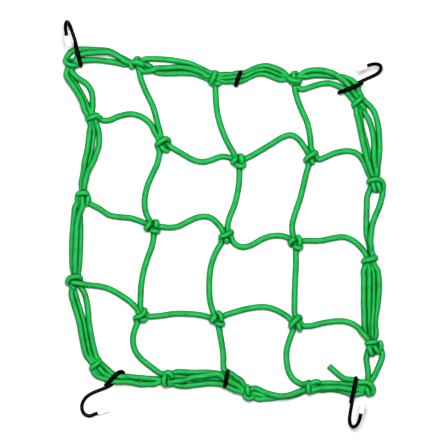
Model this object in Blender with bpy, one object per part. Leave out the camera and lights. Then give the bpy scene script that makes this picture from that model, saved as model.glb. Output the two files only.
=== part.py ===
"""Elastic-cord cargo net with four wire hooks and two wire rings, laid flat.

Units in the tables are millimetres. PLAN tables are read on a plan sheet whose x runs
right and whose y runs down, and plan_point() turns them into the part's frame: +X right,
+Y up the sheet, +Z up, with the origin under the centre knot, where the net rests.
"""

import math
from collections import namedtuple

import bmesh
import bpy
import numpy as np

# Driving dimensions, in millimetres.
PLAN_CENTRE = (226.3, 236.0)  # the centre knot on the plan sheet
CORD_DIAMETER = 5.0
WIRE_DIAMETER = 3.0
SLEEVE_DIAMETER = 5.2
SLEEVE_LENGTH = 12.0
SLEEVE_GAP = 0.4  # between the wire and the sleeve, at its side and its end
SLEEVE_CAP = 1.4  # solid end of the sleeve
BORE_OVERRUN = 2.0  # how far the sleeve's cutter starts before its mouth
TOUCH_GAP = 0.5  # kept between two cords, or a cord and a wire, that touch
KNOT_HEART_HEIGHT = 4.7  # where the strands meet inside a knot
KNOT_HEART_SIZE = (6.4, 6.4, 5.4)  # half sizes; the ground presses its foot flat
STRAND_END = 3.6  # how near to the middle of its knot a strand reaches
RIDGE_FOOT_HEIGHT = 4.0
KNOT_FUSED_RADIUS = 10.5  # strands of one knot run into each other inside this
GROUND_SIZE = (600.0, 600.0, 20.0)  # the block that presses the feet flat
SHARP_EDGE = 50  # degrees; sharper corners aren't shaded smooth

CORD_RADIUS = CORD_DIAMETER / 2
WIRE_RADIUS = WIRE_DIAMETER / 2
CORD_SPACING = CORD_DIAMETER + TOUCH_GAP
WIRE_SPACING = CORD_RADIUS + WIRE_RADIUS + TOUCH_GAP
METRES = 0.001

# Sampling, in millimetres.
SAMPLE_STEP = 2.5  # while the cords settle
WIRE_STEP = 1.5
RIDGE_POINTS = 5  # along one ridge of a knot
CORD_CHORD_ERROR = 0.5  # how far a straight facet may leave a cord's curve
WIRE_CHORD_ERROR = 0.12
LONGEST_FACET = 26.0
SHORTEST_PIECE = 0.2  # a cut route drops points nearer than this to its ends
KEPT_FACES = 0.6  # of those that the union leaves, most of them slivers at the joins

# How the cords settle, in rounds, then in millimetres or shares a round.
SETTLE_ROUNDS = 240
PUSH_ONLY_ROUNDS = 60  # the last ones, in which nothing pulls
RELIST_ROUNDS = 30  # between two lists of near pairs
LIST_REACH = 4.0  # points this much further apart than touching are still listed
SAG = 0.05
STIFFNESS = 0.25
HOLD = 0.12  # of the way back to the plan route
CORD_PUSH = 0.3  # of its overlap, for each cord of a pair
WIRE_PUSH = 0.5
LOW_WIRE = 3.0  # a cord lies over a wire below this height and beside one above it
GROUND_GAP = 0.1  # kept under a cord that lies on the ground

Knot = namedtuple("Knot", "name x y face turn")
Strand = namedtuple("Strand", "start end level via")
Wire = namedtuple("Wire", "name route")
Ridge = namedtuple("Ridge", "x y angle reach top")

# The turns of cord that show as ridges on each kind of knot: middle, direction in degrees,
# half length and the height of its middle line, in the knot's own frame.
KNOT_RIDGES = {
    "band": (
        Ridge(0.0, 0.4, 0, 6.6, 10.8),
        Ridge(-1.6, -4.0, 95, 4.2, 7.8),
        Ridge(4.6, -4.0, 50, 3.0, 6.6),
    ),
    "clover": (
        Ridge(-3.4, -2.2, -42, 4.6, 9.2),
        Ridge(2.8, 2.2, 84, 4.6, 9.8),
        Ridge(1.2, -4.8, 6, 4.4, 8.2),
    ),
}

# face: which side of the knot is up. A band knot shows one cord over two, a clover knot
# three lobes. turn: the band's or the clover's direction, in degrees from +X.
KNOTS = (
    Knot("TL", 71.5, 63.0, "band", -24),
    Knot("T1", 137.0, 63.5, "clover", 10),
    Knot("T2", 213.0, 78.0, "band", -107),
    Knot("T3", 294.0, 78.0, "clover", 0),
    Knot("TR", 357.5, 101.0, "band", 39),
    Knot("R1", 376.0, 185.0, "band", 16),
    Knot("R2", 370.0, 259.0, "band", 24),
    Knot("R3", 373.5, 348.0, "band", 7),
    Knot("BR", 366.0, 387.0, "band", 62),
    Knot("B3", 310.0, 387.0, "band", -77),
    Knot("B2", 248.0, 391.0, "clover", 90),
    Knot("B1", 167.0, 379.0, "band", -84),
    Knot("BL", 96.0, 365.0, "band", 42),
    Knot("L3", 74.0, 280.0, "band", 15),
    Knot("L2", 83.0, 196.0, "band", 0),
    Knot("L1", 94.0, 118.5, "band", 14),
    Knot("M11", 162.0, 143.5, "band", 22),
    Knot("M12", 238.5, 160.5, "clover", 0),
    Knot("M13", 310.7, 156.5, "band", 29),
    Knot("M21", 152.5, 226.5, "clover", 0),
    Knot("M22", 226.3, 236.0, "band", 22),
    Knot("M23", 295.5, 242.0, "clover", 0),
    Knot("M31", 140.5, 315.0, "band", 28),
    Knot("M32", 217.0, 318.5, "clover", 0),
    Knot("M33", 295.5, 322.0, "band", 37),
)

# level: 0 for a cord that lies on the ground, 1 for one that lies over its neighbours.
STRANDS = (
    # Rows, left to right.
    Strand("L1", "M11", 0, (
        (108, 120.7), (118.6, 116.4), (131.4, 114), (142, 117), (150.7, 124), (155, 132))),
    Strand("M11", "M12", 0, (
        (169.6, 146.5), (179.3, 152), (193.6, 160), (203, 162), (211.4, 160), (222, 156.4), (231, 158))),
    Strand("M12", "M13", 0, (
        (246.5, 158.2), (258, 152), (272, 143.6), (283, 137), (291.4, 135), (298.6, 139.3),
        (304.6, 147.5))),
    Strand("M13", "R1", 1, (
        (317, 160), (325.7, 157), (335, 153), (349, 151), (357, 153.6), (363, 160.7), (369, 173))),
    Strand("L2", "M21", 0, (
        (90, 203.6), (98.6, 208), (109.3, 215), (120, 217), (131, 218), (144, 222.6))),
    Strand("M21", "M22", 0, (
        (160.7, 226.7), (170, 227.5), (178, 226.4), (188, 221.4), (198.6, 217), (209.3, 217),
        (216.4, 222), (222, 229))),
    Strand("M22", "M23", 0, (
        (231.4, 240), (236.4, 245.2), (243.6, 247), (251.4, 245), (261.4, 239.3), (270.7, 236),
        (281.4, 235.7), (289, 238.2))),
    Strand("M23", "R2", 0, (
        (303, 240.7), (321, 240.5), (333, 238), (344.3, 237), (354.3, 241.4), (361.4, 248),
        (366, 254))),
    Strand("L3", "M31", 0, (
        (83.6, 284), (101.4, 286.4), (110, 289), (123, 296.4), (132.6, 303.7), (137.6, 309.5))),
    Strand("M31", "M32", 0, (
        (148, 316.4), (160, 315.7), (174.3, 313.6), (187, 313.6), (201.4, 315), (209, 317))),
    Strand("M32", "M33", 0, (
        (225, 315), (236.4, 311.4), (250, 308), (264.3, 306.8), (275, 309.3), (284.3, 314.3),
        (290, 318.2))),
    Strand("M33", "R3", 1, (
        (302, 325.7), (311, 325.7), (325, 322.4), (343, 321), (353.6, 324.3), (361.4, 330.7),
        (368.4, 340))),
    # Columns, top to bottom.
    Strand("T1", "M11", 0, (
        (139, 70), (141, 79), (145.7, 91), (153, 106.4), (157, 120.7), (160.3, 135))),
    Strand("M11", "M21", 0, (
        (160, 151.5), (157.6, 163), (152.4, 174.3), (147, 187.4), (144.6, 202), (146, 212.6),
        (149.5, 220))),
    Strand("M21", "M31", 0, (
        (153.8, 235), (152, 246), (148, 257), (144, 270), (141.4, 284), (140.6, 298.6), (140.4, 307))),
    Strand("M31", "B1", 0, (
        (137.6, 322.5), (134, 332), (133, 341.4), (135.4, 350.7), (141, 358.3), (149.3, 365.2),
        (160, 373.2))),
    Strand("T2", "M12", 0, (
        (215.2, 86), (215.7, 96.4), (216.6, 108), (219.5, 122), (225.7, 138.6), (233, 152))),
    Strand("M12", "M22", 0, (
        (239.4, 169), (239, 183), (237, 195.3), (234, 206.4), (229.6, 217), (227.2, 228))),
    Strand("M22", "M32", 0, (
        (221.6, 242.6), (215.5, 253), (211, 266), (209.3, 282), (210, 300), (213, 311))),
    Strand("M32", "B2", 0, (
        (218.6, 326.4), (221.4, 341.4), (223.4, 355.7), (223.4, 366), (225.4, 371.3), (230, 375),
        (236.4, 379), (243, 385))),
    Strand("T3", "M13", 0, (
        (295.2, 87), (297, 98), (302, 111), (307, 122.4), (310, 136.4), (310.9, 148))),
    Strand("M13", "M23", 0, (
        (309, 164), (306, 174), (303, 187), (299.6, 200), (295, 213.3), (292.2, 224.3), (292.6, 233.6))),
    Strand("M23", "M33", 0, (
        (295.8, 250.7), (295.8, 266), (295, 281), (294.5, 297), (294.5, 313))),
    Strand("M33", "B3", 0, (
        (293, 330), (289.3, 339.8), (286.6, 350), (286.6, 361.4), (288.8, 371.6), (293.4, 379),
        (301.4, 384))),
    # Top border.
    Strand("TL", "T1", 1, (
        (71.2, 54), (75, 50), (82, 48.6), (94, 48.5), (107, 48.9), (115.7, 51.2), (122, 55.5), (129, 61))),
    Strand("TL", "T1", 0, ((77, 56.5), (84, 54), (96, 52.4), (108, 52.4), (118, 55.6), (127, 61))),
    Strand("TL", "T1", 0, ((82, 61), (95, 60), (112, 61.8), (127, 63.6))),
    Strand("T1", "T2", 0, (
        (146.4, 58.4), (160.7, 58.4), (175, 59.3), (189.3, 63.4), (203.6, 69.3), (209, 73))),
    Strand("T1", "T2", 1, ((144, 71.6), (153, 69.3), (166, 67.6), (181, 66.6), (193, 69.6), (206, 76.6))),
    Strand("T1", "T2", 0, ((146.4, 65), (152.4, 69), (160.7, 73.4), (175, 74.4), (193, 74.8), (205, 78.6))),
    Strand("T2", "T3", 0, (
        (221, 75.2), (238, 74.6), (250, 70.7), (260, 65.9), (268.4, 66.2), (277, 70.5), (286, 75))),
    Strand("T2", "T3", 0, (
        (221, 81.2), (238, 80.4), (247, 78.6), (256, 74.2), (265, 72.8), (275, 75.6), (285, 78.6))),
    Strand("T3", "TR", 1, (
        (302, 74.3), (314, 69.6), (325, 70.4), (335.7, 75.3), (344, 80.6), (350.5, 88), (355, 95))),
    Strand("T3", "TR", 0, (
        (303, 78), (313, 75), (328, 75.7), (340, 77.4), (350.4, 79.4), (356.6, 85.2), (358.6, 94))),
    Strand("T3", "TR", 0, ((301, 87), (310.7, 85), (321.4, 82.4), (332, 83.6), (343.4, 89), (350.5, 97))),
    # Right border.
    Strand("TR", "R1", 0, ((356.4, 110), (360, 125), (363.8, 143.6), (367.6, 158), (371.4, 172))),
    Strand("TR", "R1", 0, ((361, 109), (368.6, 117.6), (373.8, 130), (375, 147), (374.4, 161), (375.4, 174))),
    Strand("TR", "R1", 0, ((367, 102.6), (374.8, 110), (379, 122), (380.8, 140), (380.2, 158), (378.8, 174))),
    Strand("R1", "R2", 0, ((370.4, 190.5), (366.8, 199), (366, 215.7), (366.8, 233.6), (369.4, 246))),
    Strand("R1", "R2", 1, (
        (382.4, 190), (382, 198.6), (377, 212), (372.6, 225.4), (370.4, 237), (370.6, 248))),
    Strand("R2", "R3", 0, ((365, 267), (364, 284), (364, 298.6), (364.4, 313), (365.6, 327), (369, 339))),
    Strand("R2", "R3", 0, ((369.8, 270), (370.2, 284), (370.6, 298.6), (370.2, 316), (370.4, 334))),
    Strand("R2", "R3", 0, (
        (375, 265.6), (379.2, 276.4), (379.4, 286), (378, 298.6), (376, 313), (375.2, 327), (374.6, 338))),
    Strand("R3", "BR", 0, ((367.6, 355), (366.4, 365), (367.4, 377))),
    Strand("R3", "BR", 1, ((382, 351), (383.2, 358), (378, 369), (371.6, 379))),
    # Bottom border.
    Strand("BR", "B3", 1, ((357, 384.8), (349, 383.8), (339, 383.5), (326, 383), (318, 384))),
    Strand("BR", "B3", 0, ((357, 389.4), (350, 389), (339, 388.6), (328.6, 389.2), (318, 389.4))),
    Strand("BR", "B3", 1, ((360, 393.6), (351, 395.2), (343, 394.4), (332, 391.6), (320, 390.6))),
    Strand("BR", "", 0, ((357, 380.6), (350, 379.2), (343, 377.2), (335.7, 372), (328.6, 365.7))),
    Strand("B3", "B2", 1, (
        (302.6, 389.3), (293, 392), (281, 395.8), (270.4, 394.2), (260, 389), (254, 387.6))),
    Strand("B3", "B2", 0, ((301, 391.5), (286, 397.4), (272, 399.4), (257, 398.6))),
    Strand("B2", "B1", 1, (
        (243, 388.6), (236, 384.6), (231, 380.5), (226.6, 376.2), (221, 373), (214, 371.8),
        (200, 371.2), (186, 370.7), (175, 372.4))),
    Strand("B2", "B1", 0, (
        (243, 390), (236, 384.9), (231, 381.7), (226.2, 379), (218, 377), (204, 376.2), (190, 377.4),
        (178, 380.4))),
    Strand("B2", "B1", 0, (
        (242, 394), (236, 390.5), (230, 387), (225.4, 384.6), (217, 383.4), (207, 383), (190, 386),
        (177, 384.6))),
    Strand("B1", "BL", 0, (
        (156.4, 379), (149.3, 378), (138.6, 376.4), (128, 376.2), (119, 375), (111.4, 372.4),
        (104.3, 366.6))),
    Strand("B1", "BL", 0, (
        (155, 383), (142.6, 385.6), (131.4, 383.6), (122, 381.8), (114, 380.2), (106.4, 378.8),
        (99.6, 375))),
    # Left border.
    Strand("BL", "L3", 0, ((89.3, 358.6), (85.7, 348.6), (82, 331), (77, 313), (73, 300), (71.4, 289))),
    Strand("BL", "L3", 0, (
        (96.6, 359), (94.3, 352), (90.7, 338), (88.6, 323.6), (88, 310), (85.6, 297.4), (81, 288))),
    Strand("L3", "L2", 0, ((73.2, 271), (72.4, 251.4), (72.8, 230), (73.4, 213), (76.6, 203))),
    Strand("L3", "L2", 1, ((75.2, 271), (76.4, 246), (77.8, 225), (80.4, 212.6), (84, 203.4))),
    Strand("L3", "L2", 0, ((79.3, 271), (80.6, 258.6), (81.6, 238), (81.8, 220), (82.4, 206))),
    Strand("L2", "L1", 0, ((81.8, 186.4), (84, 174.3), (85.9, 158), (89, 141), (91, 127))),
    Strand("L2", "L1", 1, (
        (85.4, 184.4), (88.8, 171), (94.3, 158), (98.8, 146), (99.8, 135), (96.8, 126))),
    Strand("L1", "TL", 0, ((87.4, 111), (83, 102), (77, 91.6), (69.4, 80.6), (68.4, 71.4))),
    Strand("L1", "TL", 1, ((89.6, 109.6), (85.4, 98.4), (77.6, 84.8), (71.4, 73.4))),
    Strand("L1", "TL", 0, ((92.4, 109.6), (92.8, 99), (89.8, 88.4), (82, 80.6), (75, 74.4))),
)

# Each hook is one bent wire, as plan x, plan y and height: its cut end, the eye over the
# border, the turn, back under the border, the shank, the bend and the free leg.
HOOKS = (
    Wire("top_left", (
        (75.4, 43.0, 8.7), (77.0, 49.0, 11.0), (78.6, 55.0, 11.6), (80.3, 61.5, 10.2),
        (81.6, 67.6, 6.0), (80.5, 63.0, 2.1), (78.8, 56.0, 1.6), (77.0, 48.0, 1.6),
        (75.0, 40.0, 1.6), (72.0, 30.5, 2.0), (69.7, 24.2, 3.9), (67.8, 20.8, 7.8),
        (66.4, 20.2, 12.4), (65.5, 22.6, 16.8), (65.4, 27.5, 19.8), (66.2, 33.0, 21.0),
        (67.0, 37.2, 21.2), (69.6, 47.5, 21.4))),
    Wire("top_right", (
        (362.4, 83.2, 8.7), (356.4, 86.0, 10.5), (350.4, 88.6, 10.9), (344.4, 91.0, 10.4),
        (338.8, 92.9, 5.9), (343.4, 90.6, 2.0), (350.0, 87.1, 1.6), (357.0, 83.4, 1.6),
        (365.0, 79.6, 1.6), (372.6, 76.2, 2.2), (377.6, 73.4, 4.6), (380.4, 69.8, 8.8),
        (379.8, 66.4, 12.6), (376.3, 64.8, 15.2), (371.6, 65.1, 16.5), (367.0, 66.5, 17.0),
        (355.0, 71.3, 17.4))),
    Wire("bottom_right", (
        (350.2, 402.2, 8.8), (351.8, 396.4, 11.2), (353.3, 390.0, 13.4), (354.3, 384.5, 13.9),
        (355.4, 378.6, 12.4), (356.1, 374.3, 6.8), (355.5, 378.4, 2.1), (354.3, 386.0, 1.6),
        (353.1, 394.5, 1.6), (351.9, 402.5, 1.6), (350.2, 412.5, 1.7), (349.4, 419.0, 2.9),
        (350.2, 424.0, 6.6), (352.6, 426.2, 11.2), (355.8, 424.4, 15.6), (358.3, 419.6, 18.4),
        (360.0, 412.8, 19.4), (362.6, 400.5, 19.9))),
    Wire("bottom_left", (
        (105.2, 385.2, 8.9), (109.2, 381.8, 10.5), (114.2, 377.4, 10.9), (119.2, 373.0, 10.2),
        (123.2, 369.2, 6.0), (121.0, 373.2, 2.1), (118.0, 378.2, 1.6), (113.8, 383.2, 1.6),
        (108.0, 386.6, 1.6), (100.0, 389.8, 1.6), (92.0, 393.2, 1.6), (86.0, 397.4, 1.7),
        (82.5, 403.2, 2.0), (82.3, 409.6, 2.3), (85.4, 414.4, 2.5), (90.0, 415.6, 2.7),
        (95.7, 413.6, 2.7), (109.3, 409.3, 2.7))),
)

# Each ring is one bent wire whose two ends meet under the border.
RINGS = (
    Wire("ring_top", (
        (238.7, 76.6, 1.6), (239.8, 72.4, 2.0), (240.7, 70.0, 5.9), (239.8, 72.8, 9.6),
        (238.2, 78.0, 10.9), (236.8, 83.0, 9.6), (236.0, 86.0, 5.9), (236.7, 83.2, 2.0),
        (237.8, 79.2, 1.6))),
    Wire("ring_bottom", (
        (226.8, 377.0, 1.6), (227.6, 371.6, 2.0), (228.2, 368.6, 6.4), (227.7, 371.6, 13.0),
        (227.0, 376.2, 15.6), (226.0, 382.4, 13.4), (225.1, 387.4, 9.8), (224.6, 389.4, 5.8),
        (225.3, 386.2, 2.0), (226.3, 380.0, 1.6))),
)

KNOT_PLACES = {knot.name: knot for knot in KNOTS}


# Curves and the way the cords settle, in millimetres.


def plan_point(x, y, z=0.0):
    """A point of the plan sheet in the part's frame, in millimetres."""
    return (x - PLAN_CENTRE[0], PLAN_CENTRE[1] - y, z)


def smooth_route(points):
    """A smooth curve through the points, with about eight points a millimetre."""
    points = np.array(points, float)
    before, after = 2 * points[0] - points[1], 2 * points[-1] - points[-2]
    padded = np.vstack([before, points, after])
    pieces = []
    for p0, p1, p2, p3 in zip(padded, padded[1:], padded[2:], padded[3:]):
        knots = [0.0]
        for a, b in ((p0, p1), (p1, p2), (p2, p3)):
            knots.append(knots[-1] + math.sqrt(float(np.linalg.norm(b - a))))
        t0, t1, t2, t3 = knots
        count = max(4, int(np.linalg.norm(p2 - p1) * 8))
        t = np.linspace(t1, t2, count, endpoint=False)[:, None]
        a1 = (t1 - t) / (t1 - t0) * p0 + (t - t0) / (t1 - t0) * p1
        a2 = (t2 - t) / (t2 - t1) * p1 + (t - t1) / (t2 - t1) * p2
        a3 = (t3 - t) / (t3 - t2) * p2 + (t - t2) / (t3 - t2) * p3
        b1 = (t2 - t) / (t2 - t0) * a1 + (t - t0) / (t2 - t0) * a2
        b2 = (t3 - t) / (t3 - t1) * a2 + (t - t1) / (t3 - t1) * a3
        pieces.append((t2 - t) / (t2 - t1) * b1 + (t - t1) / (t2 - t1) * b2)
    return np.vstack(pieces + [points[-1:]])


def even_route(points, step):
    """The smooth curve through the points, cut into equal steps of about this length."""
    fine = smooth_route(points)
    along = np.concatenate([[0.0], np.cumsum(np.linalg.norm(np.diff(fine, axis=0), axis=1))])
    marks = np.linspace(0.0, along[-1], max(3, round(along[-1] / step)) + 1)
    return np.column_stack([np.interp(marks, along, fine[:, axis]) for axis in range(3)])


def thin_route(points, errors):
    """Few enough of the points that each straight run is as long as its errors allow."""
    errors = np.broadcast_to(errors, len(points))
    kept, first = [0], 0
    while first < len(points) - 1:
        last = first + 1
        while last + 1 < len(points):
            run = slice(first, last + 2)
            if not _run_fits(points[run], errors[run].min()):
                break
            last += 1
        kept.append(last)
        first = last
    return points[kept]


def _run_fits(run, error):
    """Whether one straight piece may stand for this run of points."""
    chord = run[-1] - run[0]
    length = float(np.linalg.norm(chord))
    if length > LONGEST_FACET:
        return False
    offsets = run - run[0]
    across = offsets - np.outer(offsets @ chord / length**2, chord)
    return float(np.linalg.norm(across, axis=1).max()) <= error


def strand_start(strand):
    """The strand's points before it settles: its plan route, on the ground or above it."""
    height = CORD_RADIUS + strand.level * CORD_SPACING
    ends = [KNOT_PLACES[name] if name else None for name in (strand.start, strand.end)]
    points = [plan_point(x, y, height) for x, y in strand.via]
    if ends[0]:
        points.insert(0, plan_point(ends[0].x, ends[0].y, KNOT_HEART_HEIGHT))
    if ends[1]:
        points.append(plan_point(ends[1].x, ends[1].y, KNOT_HEART_HEIGHT))
    return even_route(points, SAMPLE_STEP)


def settle(strands, wires):
    """Lets the cords come to rest on the ground, on each other and round the wires.

    Each round pulls the points down and back to their plan route, smooths them as a cord's
    stiffness does, and pushes apart whatever is nearer than two touching cords may be.
    """
    lengths = [len(strand) for strand in strands]
    points = np.vstack(strands)
    owner = np.repeat(np.arange(len(strands)), lengths)
    ends = np.cumsum(lengths)
    is_end = np.zeros(len(points), bool)
    is_end[ends - 1] = True
    is_end[ends - lengths] = True
    knots = np.array([plan_point(knot.x, knot.y)[:2] for knot in KNOTS])
    to_knots = np.linalg.norm(points[:, None, :2] - knots[None], axis=2)
    near_knot = np.where(to_knots.min(axis=1) < KNOT_FUSED_RADIUS, to_knots.argmin(axis=1), -1)
    target = points[:, :2].copy()
    low_wire = np.vstack([wire[wire[:, 2] < LOW_WIRE] for wire in wires])
    high_wire = np.vstack([wire[wire[:, 2] >= LOW_WIRE] for wire in wires])
    inner = ~is_end
    middle = np.flatnonzero(inner)
    lifted = _gaps(points[:, :2], low_wire[:, :2]).min(axis=1) < WIRE_SPACING
    points[lifted, 2] += WIRE_DIAMETER
    for turn in range(SETTLE_ROUNDS):
        if turn % RELIST_ROUNDS == 0:
            cord_pairs = _near_pairs(points, owner, near_knot)
            wire_pairs = np.nonzero(_gaps(points, high_wire) < WIRE_SPACING + LIST_REACH)
        if turn < SETTLE_ROUNDS - PUSH_ONLY_ROUNDS:
            points[middle, 2] -= SAG
            bend = points[middle - 1] + points[middle + 1] - 2 * points[middle]
            points[middle, 2] += STIFFNESS * bend[:, 2]
            points[middle, :2] += HOLD * (target[middle] - points[middle, :2])
        move = np.zeros_like(points)
        first, second = cord_pairs
        step = CORD_PUSH * _shortfall(points[first] - points[second], CORD_SPACING)
        np.add.at(move, first, step)
        np.add.at(move, second, -step)
        first, second = wire_pairs
        step = WIRE_PUSH * _shortfall(points[first] - high_wire[second], WIRE_SPACING)
        np.add.at(move, first, step)
        points[inner] += move[inner]
        across = _gaps(points[:, :2], low_wire[:, :2])
        reach = np.sqrt(np.clip(WIRE_SPACING**2 - across**2, 0.0, None))
        lift = np.where(across < WIRE_SPACING, low_wire[None, :, 2] + reach, 0.0).max(axis=1)
        ground = np.maximum(CORD_RADIUS + GROUND_GAP, lift)
        points[inner, 2] = np.maximum(points[inner, 2], ground[inner])
    return np.split(points, ends[:-1])


def _near_pairs(points, owner, near_knot):
    """Pairs of points of two strands that are near, outside the knot that joins them."""
    same_knot = (near_knot[:, None] == near_knot[None]) & (near_knot[:, None] >= 0)
    near = _gaps(points, points) < CORD_SPACING + LIST_REACH
    return np.nonzero(near & (owner[:, None] < owner[None]) & ~same_knot)


def _gaps(points, others):
    """The distance from each point to each of the others."""
    squares = (points**2).sum(axis=1)[:, None] + (others**2).sum(axis=1)[None]
    return np.sqrt(np.clip(squares - 2 * points @ others.T, 0.0, None))


def _shortfall(apart, spacing):
    """What each of these offsets lacks to the spacing, along its own direction."""
    gap = np.maximum(np.linalg.norm(apart, axis=1), 1e-6)[:, None]
    return apart / gap * np.clip(spacing - gap, 0.0, None)


# Objects.


def material(name, colour, roughness, metallic):
    """A plain surface with the piece's colour."""
    made = bpy.data.materials.new(name)
    made.use_nodes = True
    shader = made.node_tree.nodes["Principled BSDF"]
    shader.inputs["Base Color"].default_value = (*colour, 1.0)
    shader.inputs["Roughness"].default_value = roughness
    shader.inputs["Metallic"].default_value = metallic
    return made


def tube(name, points, radius, collection, resolution=2, flat=False):
    """A round tube along the points, in millimetres, as one closed mesh object."""
    curve = bpy.data.curves.new(f"{name}_guide", "CURVE")
    curve.dimensions = "3D"
    curve.twist_mode = "Z_UP" if flat else "MINIMUM"
    curve.bevel_depth = radius * METRES
    curve.bevel_resolution = resolution
    curve.use_fill_caps = True
    spline = curve.splines.new("POLY")
    spline.points.add(len(points) - 1)
    for spot, point in zip(spline.points, points):
        spot.co = (*(float(value) * METRES for value in point), 1.0)
    guide = bpy.data.objects.new(f"{name}_guide", curve)
    collection.objects.link(guide)
    bpy.context.view_layer.update()
    evaluated = guide.evaluated_get(bpy.context.evaluated_depsgraph_get())
    mesh = bpy.data.meshes.new_from_object(evaluated)
    mesh.name = name
    made = bpy.data.objects.new(name, mesh)
    made.matrix_world = guide.matrix_world
    bpy.data.objects.remove(guide)
    bpy.data.curves.remove(curve)
    collection.objects.link(made)
    weld(made)
    return made


def weld(made):
    """Joins the caps of a tube to its side and turns its faces outwards."""
    shape = bmesh.new()
    shape.from_mesh(made.data)
    bmesh.ops.remove_doubles(shape, verts=shape.verts, dist=1e-6)
    bmesh.ops.recalc_face_normals(shape, faces=shape.faces)
    shape.to_mesh(made.data)
    shape.free()


def knot_frame(knot):
    """A function from a knot's own millimetres (x along its turn) to the part's frame."""
    turn = math.radians(knot.turn)
    centre = plan_point(knot.x, knot.y)

    def place(x, y, z):
        return (
            centre[0] + x * math.cos(turn) - y * math.sin(turn),
            centre[1] + x * math.sin(turn) + y * math.cos(turn),
            z,
        )

    return place


def ridge_points(place, ridge):
    """The points of one turn of cord that arches over the knot's heart."""
    along = math.radians(ridge.angle)
    points = []
    for index in range(RIDGE_POINTS):
        phase = math.pi * index / (RIDGE_POINTS - 1)
        reach = ridge.reach * math.cos(phase)
        across = (ridge.x + reach * math.cos(along), ridge.y + reach * math.sin(along))
        rise = (ridge.top - RIDGE_FOOT_HEIGHT) * math.sin(phase)
        points.append(place(*across, RIDGE_FOOT_HEIGHT + rise))
    return points


def knot_pieces(knot, collection):
    """The turns of cord that show on one knot, and the heart that they close round."""
    place = knot_frame(knot)
    for number, ridge in enumerate(KNOT_RIDGES[knot.face]):
        tube(f"{knot.name}_ridge_{number}", ridge_points(place, ridge), CORD_RADIUS, collection, resolution=1)
    shape = bmesh.new()
    bmesh.ops.create_icosphere(shape, subdivisions=1, radius=1.0)
    bmesh.ops.scale(shape, vec=[value * METRES for value in KNOT_HEART_SIZE], verts=shape.verts)
    centre = place(0.0, 0.0, KNOT_HEART_HEIGHT)
    bmesh.ops.translate(shape, vec=[value * METRES for value in centre], verts=shape.verts)
    mesh = bpy.data.meshes.new(f"{knot.name}_heart")
    shape.to_mesh(mesh)
    shape.free()
    collection.objects.link(bpy.data.objects.new(mesh.name, mesh))


def build_net(strands, wires, parts, helpers, finish):
    """The knotted net as one solid: every strand and knot, pressed flat where it rests."""
    cords = new_collection("net_cords", helpers)
    for knot in KNOTS:
        knot_pieces(knot, cords)
    for number, points in enumerate(strands):
        ends = (STRAND_END, -STRAND_END if STRANDS[number].end else math.inf)
        route = cut_route(points, *ends)
        by_wire = _gaps(route, wires).min(axis=1) < 2 * CORD_DIAMETER
        thinned = thin_route(route, np.where(by_wire, WIRE_CHORD_ERROR, CORD_CHORD_ERROR))
        tube(f"strand_{number:02d}", thinned, CORD_RADIUS, cords, resolution=1, flat=True)
    first, *others = list(cords.objects)
    cords.objects.unlink(first)
    parts.objects.link(first)
    union = first.modifiers.new("cords", "BOOLEAN")
    union.operation = "UNION"
    union.operand_type = "COLLECTION"
    union.collection = cords
    union.solver = "EXACT"
    joined = as_mesh(first, "joined_cords", parts)
    for cord in others:
        bpy.data.objects.remove(cord)
    drop_inner_shells(joined)
    thinned = joined.modifiers.new("fewer_faces", "DECIMATE")
    thinned.ratio = KEPT_FACES
    net = as_mesh(joined, "net", parts)
    press_flat(net, helpers)
    net.data.materials.append(finish)
    smooth(net)
    return net


def as_mesh(made, name, collection):
    """A new object of the shape that the object's modifiers give it, in its place."""
    bpy.context.view_layer.update()
    evaluated = made.evaluated_get(bpy.context.evaluated_depsgraph_get())
    mesh = bpy.data.meshes.new_from_object(evaluated)
    mesh.name = name
    mesh.materials.clear()
    result = bpy.data.objects.new(name, mesh)
    result.matrix_world = made.matrix_world
    bpy.data.objects.remove(made)
    collection.objects.link(result)
    return result


def drop_inner_shells(made):
    """Removes the closed hollows that are left between the turns inside a knot."""
    shape = bmesh.new()
    shape.from_mesh(made.data)
    shells, seen = [], set()
    for seed in shape.verts:
        if seed in seen:
            continue
        shell, waiting = [], [seed]
        seen.add(seed)
        while waiting:
            corner = waiting.pop()
            shell.append(corner)
            for edge in corner.link_edges:
                other = edge.other_vert(corner)
                if other not in seen:
                    seen.add(other)
                    waiting.append(other)
        shells.append(shell)
    outer = max(shells, key=len)
    inner = [corner for shell in shells if shell is not outer for corner in shell]
    bmesh.ops.delete(shape, geom=inner, context="VERTS")
    shape.to_mesh(made.data)
    shape.free()


def press_flat(made, helpers):
    """Cuts off what lies below the ground, so that the knots rest on flat faces."""
    size = [value * METRES for value in GROUND_SIZE]
    shape = bmesh.new()
    bmesh.ops.create_cube(shape, size=1.0)
    bmesh.ops.scale(shape, vec=size, verts=shape.verts)
    bmesh.ops.translate(shape, vec=(0.0, 0.0, -size[2] / 2), verts=shape.verts)
    mesh = bpy.data.meshes.new("ground")
    shape.to_mesh(mesh)
    shape.free()
    ground = bpy.data.objects.new("ground", mesh)
    ground.hide_render = True
    ground.display_type = "WIRE"
    helpers.objects.link(ground)
    cut = made.modifiers.new("pressed_flat", "BOOLEAN")
    cut.operation = "DIFFERENCE"
    cut.object = ground
    cut.solver = "EXACT"


def smooth(made):
    """Shades a round piece smooth but for its sharp edges."""
    made.data.shade_smooth()
    made.data.set_sharp_from_angle(angle=math.radians(SHARP_EDGE))


def cut_route(points, start, end):
    """The stretch of a route between two lengths along it; a negative one is from its end."""
    along = np.concatenate([[0.0], np.cumsum(np.linalg.norm(np.diff(points, axis=0), axis=1))])
    start, end = (value if value >= 0 else along[-1] + value for value in (start, end))
    end = min(end, along[-1])
    between = along[(along > start + SHORTEST_PIECE) & (along < end - SHORTEST_PIECE)]
    marks = np.concatenate([[start], between, [end]])
    return np.column_stack([np.interp(marks, along, points[:, axis]) for axis in range(3)])


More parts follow.
